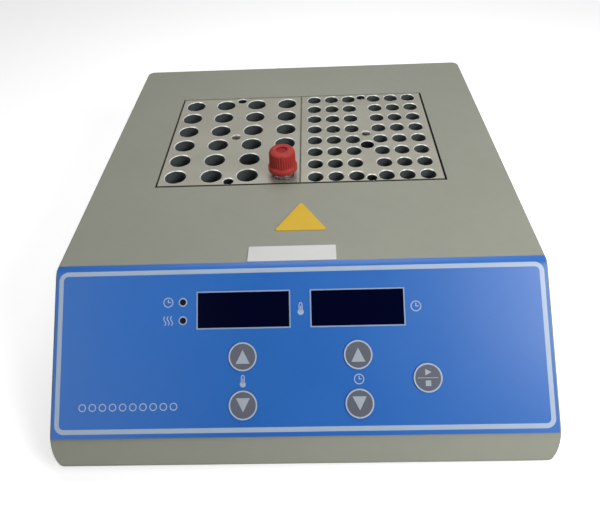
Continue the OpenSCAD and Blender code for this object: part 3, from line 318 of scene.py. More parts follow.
painted = partial(Finish, Grain.PEEL)
film = partial(Finish, Grain.FILM)
moulded = partial(Finish, Grain.MOULDED)
blasted = partial(Finish, Grain.BLASTED)
brushed = partial(Finish, Grain.BRUSHED)
spangled = partial(Finish, Grain.SPANGLED)
fibrous = partial(Finish, Grain.FIBROUS)

HOUSING_PAINT = painted("housing_powder_coat", (153, 154, 142), 0.56, 0.55, 0.012, 0.035, 60, 0.05,
                        specular=0.2, soft_edge_mm=0.25)
REAR_PAINT = painted("rear_powder_coat", (148, 147, 136), 0.5, 0.55, 0.012, 0.04, 40, 0.05,
                     soft_edge_mm=0.2)
OVERLAY_PRINT = film("blue_overlay_film", (24, 101, 186), 0.4, 0.12, 0.003, 0.03, 50, 0.04,
                     specular=0.6, soft_edge_mm=0.15)
PALE_PRINT = film("pale_panel_print", (171, 188, 210), 0.4, 0.12, 0.003, 0.02, 12, 0.03)
WINDOW_OUTLINE = film("window_outline_print", (148, 168, 198), 0.4, 0.12, 0.003, 0.02, 12, 0.03)
SMOKED_WINDOW = film("smoked_window_acrylic", (3, 6, 34), 0.12, 0.3, 0.0006, 0.04, 25, 0.03,
                     specular=0.03)
LAMP_LENS = moulded("lamp_lens_dark", (20, 20, 38), 0.3, 0.3, 0.001, 0.05, 2, 0.02, specular=0.1)
KEY_FACE = film("key_face_grey", (92, 96, 108), 0.42, 0.15, 0.004, 0.04, 5, 0.04)
KEY_RING = film("key_ring_print", (176, 192, 216), 0.4, 0.12, 0.003, 0.02, 5, 0.03)
KEY_MARK = film("key_mark_print", (170, 178, 190), 0.42, 0.12, 0.003, 0.02, 5, 0.03)
PLATE_WHITE = film("bare_name_plate", (214, 215, 213), 0.32, 0.2, 0.003, 0.02, 12, 0.05,
                   soft_edge_mm=0.12)
MARKER_YELLOW = film("plain_yellow_film", (216, 176, 30), 0.4, 0.2, 0.004, 0.03, 10, 0.05,
                     soft_edge_mm=0.1)
BLOCK_METAL = blasted("bead_blasted_aluminium", (184, 182, 168), 0.34, 0.16, 0.01, 0.06, 22, 0.06,
                      metallic=0.6)
# Near-white skin on each hole's machined chamfer: a painted highlight.
RIM_HIGHLIGHT = brushed("machined_hole_rim", (236, 236, 232), 0.34, 0.1, 0.002, 0.05, 3, 0.04,
                     metallic=0.35)
# Bore skins: painted shade inside the holes, darkest in the narrow ones.
BORE_SHADE = brushed("dark_drilled_bore", (78, 84, 84), 0.65, 0.3, 0.004, 0.12, 6, 0.06, specular=0.3)
NARROW_BORE_SHADE = brushed("narrow_reamed_bore", (36, 38, 46), 0.5, 0.2, 0.004, 0.12, 5, 0.06, specular=0.3)
THREAD_METAL = brushed("cut_thread", (132, 130, 124), 0.4, 0.1, 0.003, 0.1, 3, 0.05, metallic=0.6)
# Dark strips on the blocks' front and outer chamfers: painted shade of the gap round each block.
BLOCK_EDGE_SHADE = brushed("tarnished_block_edge", (30, 32, 34), 0.6, 0.3, 0.004, 0.2, 5, 0.06, specular=0.2)
CAP_RED = moulded("red_cap_moulding", (170, 52, 47), 0.55, 0.3, 0.006, 0.06, 4, 0.05,
                  specular=0.3, glow_through=0.35)
# Darker red lining of the cap's top recess: painted shade.
RECESS_SHADE_RED = moulded("red_cap_recess", (146, 26, 30), 0.5, 0.3, 0.004, 0.05, 3, 0.03, specular=0.3)
SEAL_RED = moulded("silicone_seal", (140, 40, 36), 0.55, 0.3, 0.004, 0.05, 3, 0.03)
TUBE_CLEAR = moulded("clear_tube_moulding", (216, 219, 220), 0.14, 1.2, 0.002, 0.01, 8, 0.02, clear=0.88)
RUBBER = moulded("matt_rubber", (30, 30, 31), 0.8, 0.5, 0.02, 0.12, 5, 0.08, soft_edge_mm=0.4)
BLACK_PLASTIC = moulded("black_moulding", (28, 28, 30), 0.42, 0.35, 0.008, 0.1, 8, 0.06,
                        soft_edge_mm=0.2)
SCREW_ZINC = brushed("zinc_screw", (176, 178, 182), 0.3, 0.12, 0.003, 0.08, 2, 0.08, metallic=1.0)
SHEET_ZINC = spangled("zinc_sheet", (172, 174, 176), 0.4, 7.0, 0.002, 0.1, 14, 0.06, metallic=0.9)
DARK_STEEL = brushed("heat_darkened_steel", (46, 46, 48), 0.5, 0.5, 0.004, 0.1, 14, 0.06, metallic=0.5)
GROUND_STEEL = brushed("ground_steel", (190, 190, 194), 0.24, 0.1, 0.002, 0.05, 4, 0.05, metallic=1.0)
MILLED_ALUMINIUM = brushed("milled_aluminium", (186, 187, 188), 0.32, 0.35, 0.006, 0.05, 12, 0.05,
                           metallic=1.0)
FIBRE_BOARD = fibrous("ceramic_fibre", (214, 208, 190), 0.95, 0.9, 0.12, 0.08, 6, 0.0)
HEATER_FILM = moulded("heater_film", (168, 82, 40), 0.5, 1.0, 0.02, 0.1, 6, 0.05)
SOLDER_MASK = film("green_solder_mask", (22, 92, 52), 0.34, 0.8, 0.006, 0.12, 4, 0.04, coat=0.2)
RELAY_BLUE = moulded("relay_case", (30, 68, 132), 0.36, 0.3, 0.006, 0.06, 6, 0.05, soft_edge_mm=0.2)
TERMINAL_GREEN = moulded("terminal_moulding", (44, 112, 70), 0.48, 0.3, 0.008, 0.06, 4, 0.05,
                         soft_edge_mm=0.2)
SLEEVE_BLUE = film("capacitor_sleeve", (34, 38, 84), 0.3, 0.5, 0.004, 0.06, 6, 0.04, coat=0.2)
LEAD_BROWN = moulded("brown_insulation", (84, 54, 32), 0.45, 0.4, 0.006, 0.08, 3, 0.05)
LEAD_WHITE = moulded("white_insulation", (206, 205, 198), 0.5, 0.4, 0.006, 0.05, 3, 0.05)
RIBBON_GREY = brushed("ribbon_insulation", (140, 141, 145), 0.5, 1.2, 0.05, 0.05, 6, 0.04)
CONTACT = brushed("plated_contact", (204, 202, 190), 0.24, 0.15, 0.002, 0.05, 2, 0.06, metallic=1.0)
NYLON = moulded("natural_nylon", (222, 220, 208), 0.46, 0.4, 0.005, 0.04, 4, 0.04)
FUSE_GLASS = moulded("fuse_glass", (226, 234, 236), 0.08, 2.0, 0.001, 0.02, 6, 0.02, clear=0.85)
WHITE_PRINT = film("white_switch_print", (224, 224, 222), 0.45, 0.12, 0.003, 0.02, 3, 0.04)

NODE_FINISHES: dict[str, Finish] = {
    node: finish for finish, nodes in (
        (HOUSING_PAINT, "top_cover"), (REAR_PAINT, "rear_panel"), (SHEET_ZINC, "base_plate"),
        (OVERLAY_PRINT, "graphic_overlay"), (SMOKED_WINDOW, "temperature_window timer_window"),
        (BLACK_PLASTIC, "temperature_display timer_display tact_switches thermal_cutout transformer "
         "mains_inlet switch_body fuse_drawer power_rocker"),
        (LAMP_LENS, "indicator_lamps"), (PLATE_WHITE, "name_plate"),
        (MARKER_YELLOW, "triangle_marker"),
        (SCREW_ZINC, "foot_nuts cover_nuts rear_nuts board_standoffs board_screws heater_standoffs "
         "heater_screws foot_screws cover_screws rear_screws inlet_screws"),
        (SOLDER_MASK, "control_board power_board"), (DARK_STEEL, "well_liner"),
        (FIBRE_BOARD, "insulation_wrap insulation_pad"), (MILLED_ALUMINIUM, "heater_plate"),
        (HEATER_FILM, "heater_mat"), (GROUND_STEEL, "locating_pins temperature_probe"),
        (NYLON, "power_board_spacers"), (RELAY_BLUE, "relay"), (TERMINAL_GREEN, "terminal_block"),
        (SLEEVE_BLUE, "filter_capacitor"), (CONTACT, "inlet_pins"), (LEAD_BROWN, "mains_leads"),
        (LEAD_WHITE, "heater_leads"), (RIBBON_GREY, "ribbon_cable"),
        (BLOCK_METAL, "left_block right_block"), (FUSE_GLASS, "fuse"), (TUBE_CLEAR, "sample_tube"),
        (SEAL_RED, "cap_liner"), (RUBBER, "rubber_feet"), (CAP_RED, "tube_cap"),
        (KEY_FACE, "temp_up_key temp_down_key time_up_key time_down_key start_stop_key"),
    ) for node in nodes.split()
}


def arc(centre: Point, radius: float, start: float, end: float, steps: int) -> list[Point]:
    """Steps along an arc.

    Args:
        centre: Middle of the circle.
        radius: Its radius.
        start: First angle in degrees.
        end: Last angle in degrees.
        steps: Number of steps.

    Returns:
        One point more than the steps.
    """
    angles = [math.radians(start + (end - start) * i / steps) for i in range(steps + 1)]
    return [(centre[0] + radius * math.cos(a), centre[1] + radius * math.sin(a)) for a in angles]


def circle(centre: Point, radius: float, steps: int = 48) -> list[Point]:
    """Returns the points of a full circle, counter-clockwise."""
    return arc(centre, radius, 0, 360, steps)[:-1]


def rounded_box(centre: Point, width: float, height: float, radius: float,
                step: float = 4.0) -> list[Point]:
    """Outline of a rectangle with round corners, with points along its straight sides too.

    Args:
        centre: Middle of the rectangle.
        width: Its full width.
        height: Its full height.
        radius: Radius of its corners.
        step: Longest straight stretch between two points.

    Returns:
        The points, counter-clockwise.
    """
    x, y = width / 2 - radius, height / 2 - radius
    corners = [(x, y, 0), (-x, y, 90), (-x, -y, 180), (x, -y, 270)]
    points: list[Point] = []
    for cx, cy, turn in corners:
        points += arc((centre[0] + cx, centre[1] + cy), radius, turn, turn + 90, 8)
    dense: list[Point] = []
    for first, second in zip(points, points[1:] + points[:1]):
        pieces = max(1, math.ceil(math.dist(first, second) / step))
        dense += [tuple(a + (b - a) * i / pieces for a, b in zip(first, second)) for i in range(pieces)]
    return dense


def box_corners(edges: Edges) -> list[Point]:
    """Gives the corners of a box.

    Args:
        edges: Its left, right, lower and upper edge.

    Returns:
        The corners, counter-clockwise.
    """
    left, right, low, high = edges
    return [(left, low), (right, low), (right, high), (left, high)]


@dataclass
class Shape:
    """Corners and faces of one or more closed solids, in millimetres."""

    corners: list[Vector]
    faces: list[tuple[int, ...]]

    @classmethod
    def prism(cls, outline: Sequence[Point], low: float, high: float) -> "Shape":
        """Makes a flat plate.

        Args:
            outline: Its outline, counter-clockwise.
            low: Height of its underside.
            high: Height of its top.

        Returns:
            The plate.
        """
        n = len(outline)
        corners = [Vector((x, y, z)) for z in (low, high) for x, y in outline]
        sides = [(i, (i + 1) % n, n + (i + 1) % n, n + i) for i in range(n)]
        return cls(corners, [tuple(reversed(range(n))), tuple(range(n, 2 * n))] + sides)

    @classmethod
    def band(cls, outlines: Sequence[Sequence[Point]], low: float, high: float) -> "Shape":
        """Makes a flat ring.

        Args:
            outlines: Outlines of equally many points, from the outer one inwards.
            low: Height of its underside.
            high: Height of its top.

        Returns:
            The ring.
        """
        n = len(outlines[0])
        loops = [(o, high) for o in outlines] + [(o, low) for o in reversed(outlines)]
        corners = [Vector((x, y, z)) for loop, z in loops for x, y in loop]
        faces = [
            (a * n + i, a * n + (i + 1) % n, b * n + (i + 1) % n, b * n + i)
            for a, b in ((k, (k + 1) % len(loops)) for k in range(len(loops)))
            for i in range(n)
        ]
        return cls(corners, faces)

    @classmethod
    def turned(cls, profile: Sequence[Point], steps: int, closed: bool = False) -> "Shape":
        """Turns a profile round the Z axis.

        Args:
            profile: Points of radius and height. An open profile starts and ends on the axis.
            steps: Number of steps round.
            closed: Whether the last point joins the first.

        Returns:
            The turned solid.
        """
        corners: list[Vector] = []
        rows: list[list[int]] = []
        for radius, height in profile:
            count = 1 if radius == 0 else steps
            rows.append(list(range(len(corners), len(corners) + count)))
            for k in range(count):
                a = 2 * math.pi * k / steps
                corners.append(Vector((radius * math.cos(a), radius * math.sin(a), height)))
        pairs = list(zip(rows, rows[1:] + rows[:1])) if closed else list(zip(rows, rows[1:]))
        faces: list[tuple[int, ...]] = []
        for below, above in pairs:
            for k in range(steps):
                ring = [below[k % len(below)], below[(k + 1) % len(below)],
                        above[(k + 1) % len(above)], above[k % len(above)]]
                face = tuple(dict.fromkeys(ring))
                if len(face) > 2:
                    faces.append(face)
        return cls(corners, faces)

    @classmethod
    def together(cls, shapes: Iterable["Shape"]) -> "Shape":
        """Puts shapes together.

        Args:
            shapes: The shapes.

        Returns:
            All of them as one.
        """
        corners: list[Vector] = []
        faces: list[tuple[int, ...]] = []
        for shape in shapes:
            first = len(corners)
            corners += shape.corners
            faces += [tuple(first + i for i in face) for face in shape.faces]
        return cls(corners, faces)

    def placed(self, place: Callable[[Vector], Vector]) -> "Shape":
        """Returns the shape with each corner carried over by place."""
        return Shape([place(c) for c in self.corners], list(self.faces))

    def mesh(self, name: str, crease_deg: float = 35.0) -> Mesh:
        """Makes the mesh in metres, with its faces outwards and smooth up to a crease.

        Args:
            name: Name of the mesh.
            crease_deg: Angle between faces above which an edge stays sharp.

        Returns:
            The mesh.
        """
        made = bpy.data.meshes.new(name)
        made.from_pydata([c * MM for c in self.corners], [], self.faces)
        return finished_mesh(made, crease_deg)


def finished_mesh(mesh: Mesh, crease_deg: float) -> Mesh:
    """Turns a mesh's faces outwards and shades it smooth up to a crease.

    Args:
        mesh: The mesh, which is changed.
        crease_deg: Angle between faces above which an edge stays sharp.

    Returns:
        The same mesh.
    """
    work = bmesh.new()
    work.from_mesh(mesh)
    bmesh.ops.recalc_face_normals(work, faces=work.faces)
    work.to_mesh(mesh)
    work.free()
    mesh.shade_smooth()
    mesh.set_sharp_from_angle(angle=math.radians(crease_deg))
    return mesh


def joined(mesh: Mesh) -> bmesh.types.BMesh:
    """Opens a mesh for editing, with the corners that lie on each other made one.

    Args:
        mesh: The mesh, which isn't changed.

    Returns:
        The editable copy.
    """
    work = bmesh.new()
    work.from_mesh(mesh)
    bmesh.ops.remove_doubles(work, verts=work.verts, dist=JOINED_M)
    return work


def object_of(name: str, data: bpy.types.ID) -> bpy.types.Object:
    """Makes an object and links it to the scene.

    Args:
        name: Its name.
        data: The mesh, camera or lamp that it shows.

    Returns:
        The new object.
    """
    made = bpy.data.objects.new(name, data)
    bpy.context.scene.collection.objects.link(made)
    return made


def baked(source: bpy.types.Object) -> Mesh:
    """Turns what an object's modifiers make into a plain mesh, and deletes the object.

    Args:
        source: The object.

    Returns:
        The mesh.
    """
    graph = bpy.context.evaluated_depsgraph_get()
    mesh = bpy.data.meshes.new_from_object(source.evaluated_get(graph))
    bpy.data.objects.remove(source)
    return mesh


def piece(name: str, mesh: Mesh, finish: Finish, body: str, slot: str,
          *nodes: str) -> bpy.types.Object:
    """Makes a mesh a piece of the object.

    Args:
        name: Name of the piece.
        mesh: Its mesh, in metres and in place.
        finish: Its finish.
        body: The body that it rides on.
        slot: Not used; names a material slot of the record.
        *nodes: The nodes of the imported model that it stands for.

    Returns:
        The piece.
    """
    made = object_of(name, mesh)
    mesh.materials.clear()
    mesh.materials.append(finish.material())
    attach(made, body)
    if nodes:
        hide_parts(*nodes)
    LOG.info("piece %s: %d faces on %s", name, len(mesh.polygons), body)
    return made


class GeometryRule(NodeWork):
    """A Geometry Nodes tree with named inputs."""

    def __init__(self, name: str, **inputs: str) -> None:
        """Starts with the inputs and one output.

        Args:
            name: Name of the tree.
            **inputs: Kind of socket of each input.
        """
        super().__init__(bpy.data.node_groups.new(name, "GeometryNodeTree"))
        face = self.tree.interface
        face.new_socket("Geometry", in_out="OUTPUT", socket_type="NodeSocketGeometry")
        self.inputs = {
            key: face.new_socket(key, in_out="INPUT", socket_type="NodeSocket" + kind).identifier
            for key, kind in inputs.items()
        }
        self.given = self.add("NodeGroupInput").outputs

    def hand_out(self, geometry: Socket, finish: Any) -> None:
        """Gives the geometry a material and sends it out of the tree.

        Args:
            geometry: The geometry.
            finish: The material, or the output that gives it.
        """
        real = self.add("GeometryNodeRealizeInstances", {"Geometry": geometry}).outputs[0]
        dressed = self.add("GeometryNodeSetMaterial", {"Geometry": real, "Material": finish})
        self.add("NodeGroupOutput", {"Geometry": dressed.outputs[0]})

    def run(self, holder: bpy.types.Object, **values: Any) -> Mesh:
        """Runs the tree on an object, which is deleted.

        Args:
            holder: The object.
            **values: The values of the inputs.

        Returns:
            The mesh that the tree makes.
        """
        rule = holder.modifiers.new("rule", "NODES")
        rule.node_group = self.tree
        for key, value in values.items():
            rule[self.inputs[key]] = value
        return baked(holder)


class Repeater:
    """Stands copies of one mesh on points."""

    def __init__(self) -> None:
        """Builds the tree."""
        rule = GeometryRule(
            "repeat_on_points", Points="Geometry", Piece="Object", Size="Float", Finish="Material")
        item = rule.add("GeometryNodeObjectInfo", {"Object": rule.given["Piece"]})
        copies = rule.add("GeometryNodeInstanceOnPoints", {
            "Points": rule.given["Points"], "Instance": item.outputs["Geometry"],
            "Scale": rule.given["Size"]})
        rule.hand_out(copies.outputs[0], rule.given["Finish"])
        self.rule = rule

    def mesh(self, item: Mesh, places: Sequence[Vector], finish: Finish,
             size: float = 1.0) -> Mesh:
        """Repeats an item.

        Args:
            item: The mesh to repeat, in metres, around the origin.
            places: Where the copies stand, in millimetres.
            finish: Their finish.
            size: Scale of the copies.

        Returns:
            One mesh with all the copies.
        """
        points = bpy.data.meshes.new("points")
        points.from_pydata([p * MM for p in places], [], [])
        holder, sample = object_of("points", points), object_of("item", item)
        mesh = self.rule.run(holder, Piece=sample, Size=size, Finish=finish.material())
        bpy.data.objects.remove(sample)
        return mesh


@dataclass
class Housing:
    """The painted shell and the places that everything else is set out from."""

    frame: dict[str, Any]
    top_d: float = 201.2
    panel_deg: float = 44.0
    fold_r: float = 8.0
    overlay_t: float = 0.5

    def __post_init__(self) -> None:
        """Reads the shell's box and works out the fold line."""
        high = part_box("top_cover")[1] / MM
        self.top_z = high.z
        self.back_y = high.y
        self.fold_y = high.y - self.top_d
        lean = math.radians(self.panel_deg)
        self.out = Vector((0, -math.sin(lean), math.cos(lean)))
        self.down = Vector((0, -math.cos(lean), -math.sin(lean)))
        self.tilt = Matrix.Rotation(lean, 3, "X")

    def dress(self) -> None:
        """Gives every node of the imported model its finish."""
        for name, node in self.frame["nodes"].items():
            for slot in node.material_slots:
                slot.material = NODE_FINISHES[name].material()
            LOG.info("node %s: %s", name, NODE_FINISHES[name].name)

    def panel_place(self, node: str) -> tuple[float, float, float]:
        """Measures where a node lies on the panel.

        Args:
            node: The node.

        Returns:
            Sideways place, distance below the fold line, and height of its lowest point above the sheet.
        """
        fold = Vector((0, self.fold_y, self.top_z))
        points = [corner.co / MM - fold for corner in self.frame["nodes"][node].data.vertices]
        across = [p.x for p in points]
        down = [p.dot(self.down) for p in points]
        middle = [(min(values) + max(values)) / 2 for values in (across, down)]
        return middle[0], middle[1], min(p.dot(self.out) for p in points)

    def on_panel(self, corner: Vector) -> Vector:
        """Carries a point of the printed artwork over to the panel, round the bend where it starts.

        Args:
            corner: Sideways place, distance up from the fold line, and height above the overlay.

        Returns:
            The place in the row frame, in millimetres.
        """
        lift = corner.z + self.overlay_t
        straight_from = self.fold_r * math.tan(math.radians(self.panel_deg / 2))
        below = -corner.y
        start = Vector((corner.x, self.fold_y, self.top_z)) + self.down * max(below, straight_from)
        if below >= straight_from:
            return start + self.out * lift
        turn = (straight_from - below) / (self.fold_r + self.overlay_t)
        centre = start - self.out * self.fold_r
        leaning = self.out * math.cos(turn) - self.down * math.sin(turn)
        return centre + leaning * (self.fold_r + lift)


@dataclass
class PanelArtwork:
    """Print on the overlay: border, window outlines, lamp rings and plain symbols."""

    housing: Housing
    repeater: Repeater
    print_t: float = 0.03
    sink: float = 0.02
    border_w: float = 213.2
    border_top: float = 0.95
    border_bottom: float = 70.3
    border_t: float = 2.0
    border_r: float = 4.0
    windows: tuple[str, ...] = ("temperature_window", "timer_window")
    window: tuple[float, float] = (41.0, 16.2)
    bare_sides: tuple[tuple[float, float], ...] = ((0.85, 0.0), (0.85, 0.05))
    bare_ends: tuple[float, float] = (0.5, 0.42)
    cut_gap: float = 0.3
    outline_t: float = 0.55
    line_w: float = 0.4
    wave_w: float = 0.44
    lamps: tuple[Point, ...] = ((-51.1, 15.2), (-51.1, 23.15))
    lamp_r: float = 1.4
    lamp_ring_r: float = 1.9
    rack_places: tuple[float, float, int] = (-94.6, -54.9, 10)
    rack_v: float = 59.3
    rack_r: float = 1.65
    rack_w: float = 0.42
    symbols: tuple[tuple[str, Point, float], ...] = (
        ("clock", (-57.6, 15.2), 2.2), ("waves", (-57.6, 23.15), 1.5),
        ("thermometer", (0.6, 18.85), 1.0), ("clock", (50.6, 18.85), 2.3),
        ("thermometer", (-24.95, 49.1), 0.95), ("clock", (24.95, 49.1), 2.2))

    def build(self) -> None:
        """Builds every printed piece."""
        self._add("panel_border", [self._border()], PALE_PRINT)
        rims, masks = self._window_frames()
        self._add("window_outlines", rims, WINDOW_OUTLINE)
        self._add("window_masks", masks, OVERLAY_PRINT)
        rings = [self._ring((x, -v), self.lamp_ring_r, self.lamp_r) for x, v in self.lamps]
        self._add("lamp_rings", rings, PALE_PRINT)
        draw = {"clock": self._clock, "thermometer": self._thermometer, "waves": self._waves}
        drawn = [shape for kind, place, size in self.symbols for shape in draw[kind](place, size)]
        self._add("panel_symbols", drawn, PALE_PRINT)
        self._build_rack_row()

    def _add(self, name: str, shapes: Sequence[Shape], finish: Finish) -> None:
        """Lays flat shapes on the panel as one printed piece.

        Args:
            name: Name of the piece.
            shapes: The shapes, as on_panel takes them.
            finish: Their print.
        """
        laid = Shape.together(shapes).placed(self.housing.on_panel)
        piece(name, laid.mesh(name), finish, HOUSING, "overlay_print")

    def _plate(self, outline: Sequence[Point]) -> Shape:
        """Returns a printed area; outlines give the distance below the fold line as -y."""
        return Shape.prism(outline, -self.sink, self.print_t)

    def _loop(self, *outlines: Sequence[Point]) -> Shape:
        """Returns a printed line across outlines, from the outer to the inner one."""
        return Shape.band(outlines, -self.sink, self.print_t)

    def _ring(self, centre: Point, outer: float, inner: float) -> Shape:
        """Returns a printed ring of two radii."""
        return self._loop(circle(centre, outer), circle(centre, inner))

    def _border(self) -> Shape:
        """Makes the pale band round the panel.

        Returns:
            The band.
        """
        centre = (0.0, -(self.border_top + self.border_bottom) / 2)
        height = self.border_bottom - self.border_top
        outer = rounded_box(centre, self.border_w, height, self.border_r, 0.6)
        steps = [self.border_t * k / 8 for k in range(9)]
        return self._loop(*([self._pulled_in(p, centre, height, t) for p in outer] for t in steps))

    def _pulled_in(self, point: Point, centre: Point, height: float, inset: float) -> Point:
        """Moves a point of the border's outer edge inwards.

        Args:
            point: The point.
            centre: Middle of the border.
            height: Its height.
            inset: How far the point moves.

        Returns:
            Where the point comes to lie.
        """
        half = (self.border_w / 2 - self.border_r, height / 2 - self.border_r)
        core = [max(-h, min(h, p - c)) + c for p, c, h in zip(point, centre, half)]
        keep = 1 - inset / self.border_r
        return (core[0] + (point[0] - core[0]) * keep, core[1] + (point[1] - core[1]) * keep)

    def _window_frames(self) -> tuple[list[Shape], list[Shape]]:
        """Makes the film round each display window.

        Returns:
            The pale outlines, and the blue masks that cover the cut edges outside them.
        """
        rims, masks = [], []
        for node, bare in zip(self.windows, self.bare_sides):
            u, v, _ = self.housing.panel_place(node)
            width, height = self.window
            cut = (u - width / 2, u + width / 2, -v - height / 2, -v + height / 2)
            clear = (cut[0] + bare[0], cut[1] - bare[1],
                     cut[2] + self.bare_ends[1], cut[3] - self.bare_ends[0])
            rim = self._grown(clear, self.outline_t)
            reach, least = self._grown(cut, self.cut_gap), self._grown(rim, 0.1)
            outside = tuple(pick(a, b) for pick, a, b in zip((min, max, min, max), reach, least))
            line = [box_corners(rim), box_corners(clear)]
            rims.append(Shape.band(line, -self.sink, self.print_t + 0.01))
            masks.append(self._loop(box_corners(outside), box_corners(rim)))
        return rims, masks

    @staticmethod
    def _grown(box: Edges, by: float) -> Edges:
        """Returns a box of left, right, lower and upper edge, grown on every side."""
        return (box[0] - by, box[1] + by, box[2] - by, box[3] + by)

    def _clock(self, place: Point, radius: float) -> list[Shape]:
        """Draws a plain clock face, a ring and two hands.

        Args:
            place: Its place on the panel.
            radius: Its radius.

        Returns:
            Its shapes.
        """
        x, y = place[0], -place[1]
        ring = self._ring((x, y), radius, radius - self.line_w)
        half = self.line_w / 2
        long_hand = (x - half, x + half, y - half, y + radius - 0.9)
        short_hand = (x + half, x + radius - 1.1, y - half, y + half)
        return [ring] + [self._plate(box_corners(hand)) for hand in (long_hand, short_hand)]

    def _thermometer(self, place: Point, size: float) -> list[Shape]:
        """Draws a plain thermometer, an outlined stem, a bulb and a column in it.

        Args:
            place: Its place on the panel.
            size: Its scale.

        Returns:
            Its shapes.
        """
        x, y = place[0], -place[1]
        bulb = (x, y - 1.5 * size)
        stem = rounded_box((x, y + 0.75 * size), 1.7 * size, 3.7 * size, 0.84 * size, 9)
        bore = rounded_box((x, y + 0.75 * size), 0.9 * size, 2.9 * size, 0.44 * size, 9)
        return [
            self._loop(stem, bore),
            self._plate(circle(bulb, 1.35 * size)),
            self._plate(rounded_box((x, y), 0.42 * size, 2.2 * size, 0.2 * size, 9)),
        ]

    def _waves(self, place: Point, apart: float) -> list[Shape]:
        """Draws three upright waves that stand for warm air.

        Args:
            place: Their place on the panel.
            apart: Distance between them.

        Returns:
            Their shapes.
        """
        shapes = []
        for offset in (-apart, 0.0, apart):
            line = [
                (place[0] + offset + 0.45 * math.sin(2 * math.pi * t / 12), -place[1] - 2.0 + t / 3)
                for t in range(13)
            ]
            half = self.wave_w / 2
            outline = [(x + half, y) for x, y in line] + [(x - half, y) for x, y in reversed(line)]
            shapes.append(self._plate(outline))
        return shapes

    def _build_rack_row(self) -> None:
        """Builds a row of plain rings, like tubes in a rack seen from above."""
        first, last, count = self.rack_places
        ring = self._ring((0, 0), self.rack_r, self.rack_r - self.rack_w)
        item = ring.placed(lambda c: self.housing.tilt @ c).mesh("rack_ring")
        places = [
            self.housing.on_panel(Vector((first + (last - first) * i / (count - 1), -self.rack_v, 0.0)))
            for i in range(count)
        ]
        mesh = self.repeater.mesh(item, places, PALE_PRINT)
        piece("rack_row_symbol", finished_mesh(mesh, 35), PALE_PRINT, HOUSING, "overlay_print")


class KeyMark(Enum):
    """What is printed on a key."""

    UP = "up"
    DOWN = "down"
    START_STOP = "start and stop"


@dataclass
class PanelKey:
    """A round key with a softly dished face, a pale ring and its mark."""

    housing: Housing
    node: str
    mark: KeyMark
    radius: float = 6.15
    proud: float = 0.5
    flange_r: float = 7.15
    flange_n: float = -1.3
    flange_t: float = 0.8
    stem_r: float = 1.75
    ring_w: float = 0.62
    edge_in: float = 0.05
    dish: float = 0.05
    print_lift: float = 0.012
    print_t: float = 0.02
    ring_sink: float = 0.06
    mark_sink: float = 0.1
    collar_sink: float = 0.12
    steps: int = 96
    collar: tuple[float, float] = (6.58, 6.2)

    def __post_init__(self) -> None:
        """Reads the key's place on the panel from its node."""
        self.u, self.v, self.deepest = self.housing.panel_place(self.node)

    def build(self) -> None:
        """Builds the key, its ring, the collar of film round it and its mark."""
        body = Shape.turned(self._profile(), self.steps)
        self._add("moulding", body, KEY_FACE, self.node, "key_grey", self.node)
        face = self.proud + self.print_lift
        outer = self.radius - self.edge_in
        ring = Shape.band(self._rims(outer, outer - self.ring_w), face - self.ring_sink,
                          face + self.print_t)
        self._add("ring", ring, KEY_RING, self.node, "key_grey")
        collar = Shape.band(self._rims(*self.collar), -self.collar_sink, self.print_lift)
        self._add("collar", collar, OVERLAY_PRINT, HOUSING, "overlay_print")
        marks = (Shape.prism(outline, face - self.mark_sink, face + self.print_t)
                 for outline in self._outlines())
        self._add("mark", Shape.together(marks), KEY_MARK, self.node, "key_grey")

    def _add(self, name: str, shape: Shape, finish: Finish, body: str, slot: str, *nodes: str) -> None:
        """Lays a shape on the panel as a piece of the key.

        Args:
            name: What the piece is.
            shape: The shape, made around the key's centre.
            finish: Its finish.
            body: The body that it rides on.
            slot: The record's material slot.
            *nodes: The nodes that it stands for.
        """
        centre = self.housing.on_panel(Vector((self.u, -self.v, 0.0)))
        laid = shape.placed(lambda c: self.housing.tilt @ c + centre)
        piece(f"{self.node}_{name}", laid.mesh(name), finish, body, slot, *nodes)

    def _rims(self, *radii: float) -> list[list[Point]]:
        """Returns circles round the key's centre."""
        return [circle((0, 0), radius, self.steps) for radius in radii]

    def _profile(self) -> list[Point]:
        """Draws the key's profile.

        Returns:
            The points, with heights above the overlay's face.
        """
        base = -self.housing.overlay_t
        low, high = base + self.flange_n - self.flange_t, base + self.flange_n
        edge, top, end = self.edge_in, self.proud, base + self.deepest
        rim = arc((self.radius - edge, top - edge), edge, 0, 90, 6)
        face = [(self.radius * k / 8, top - self.dish * (1 - k / 8)) for k in range(6, 0, -1)]
        return (
            [(0, end), (self.stem_r - 0.3, end), (self.stem_r, end + 0.3), (self.stem_r, low),
             (self.flange_r - 0.1, low), (self.flange_r, low + 0.1),
             (self.flange_r, high - 0.1), (self.flange_r - 0.1, high), (self.radius, high)]
            + rim + face + [(0, top - self.dish)]
        )

    def _outlines(self) -> list[list[Point]]:
        """Draws the mark.

        Returns:
            Its outlines, around the key's centre.
        """
        up = [(-3.0, -2.95), (3.0, -2.95), (0.0, 2.9)]
        if self.mark is KeyMark.UP:
            return [up]
        if self.mark is KeyMark.DOWN:
            return [[(x, -y) for x, y in reversed(up)]]
        start = [(-1.1, 1.0), (1.5, 2.35), (-1.1, 3.7)]
        line, stop = (-4.3, 4.3, -0.14, 0.14), (-1.15, 1.15, -3.4, -1.1)
        return [start, box_corners(line), box_corners(stop)]


PANEL_KEYS = {
    "temp_up_key": KeyMark.UP, "temp_down_key": KeyMark.DOWN, "time_up_key": KeyMark.UP,
    "time_down_key": KeyMark.DOWN, "start_stop_key": KeyMark.START_STOP,
}


@dataclass(frozen=True)
class HoleSet:
    """Holes of one size in one block."""

    name: str
    block: str
    radius: float
    depth: float
    places: tuple[Vector, ...]


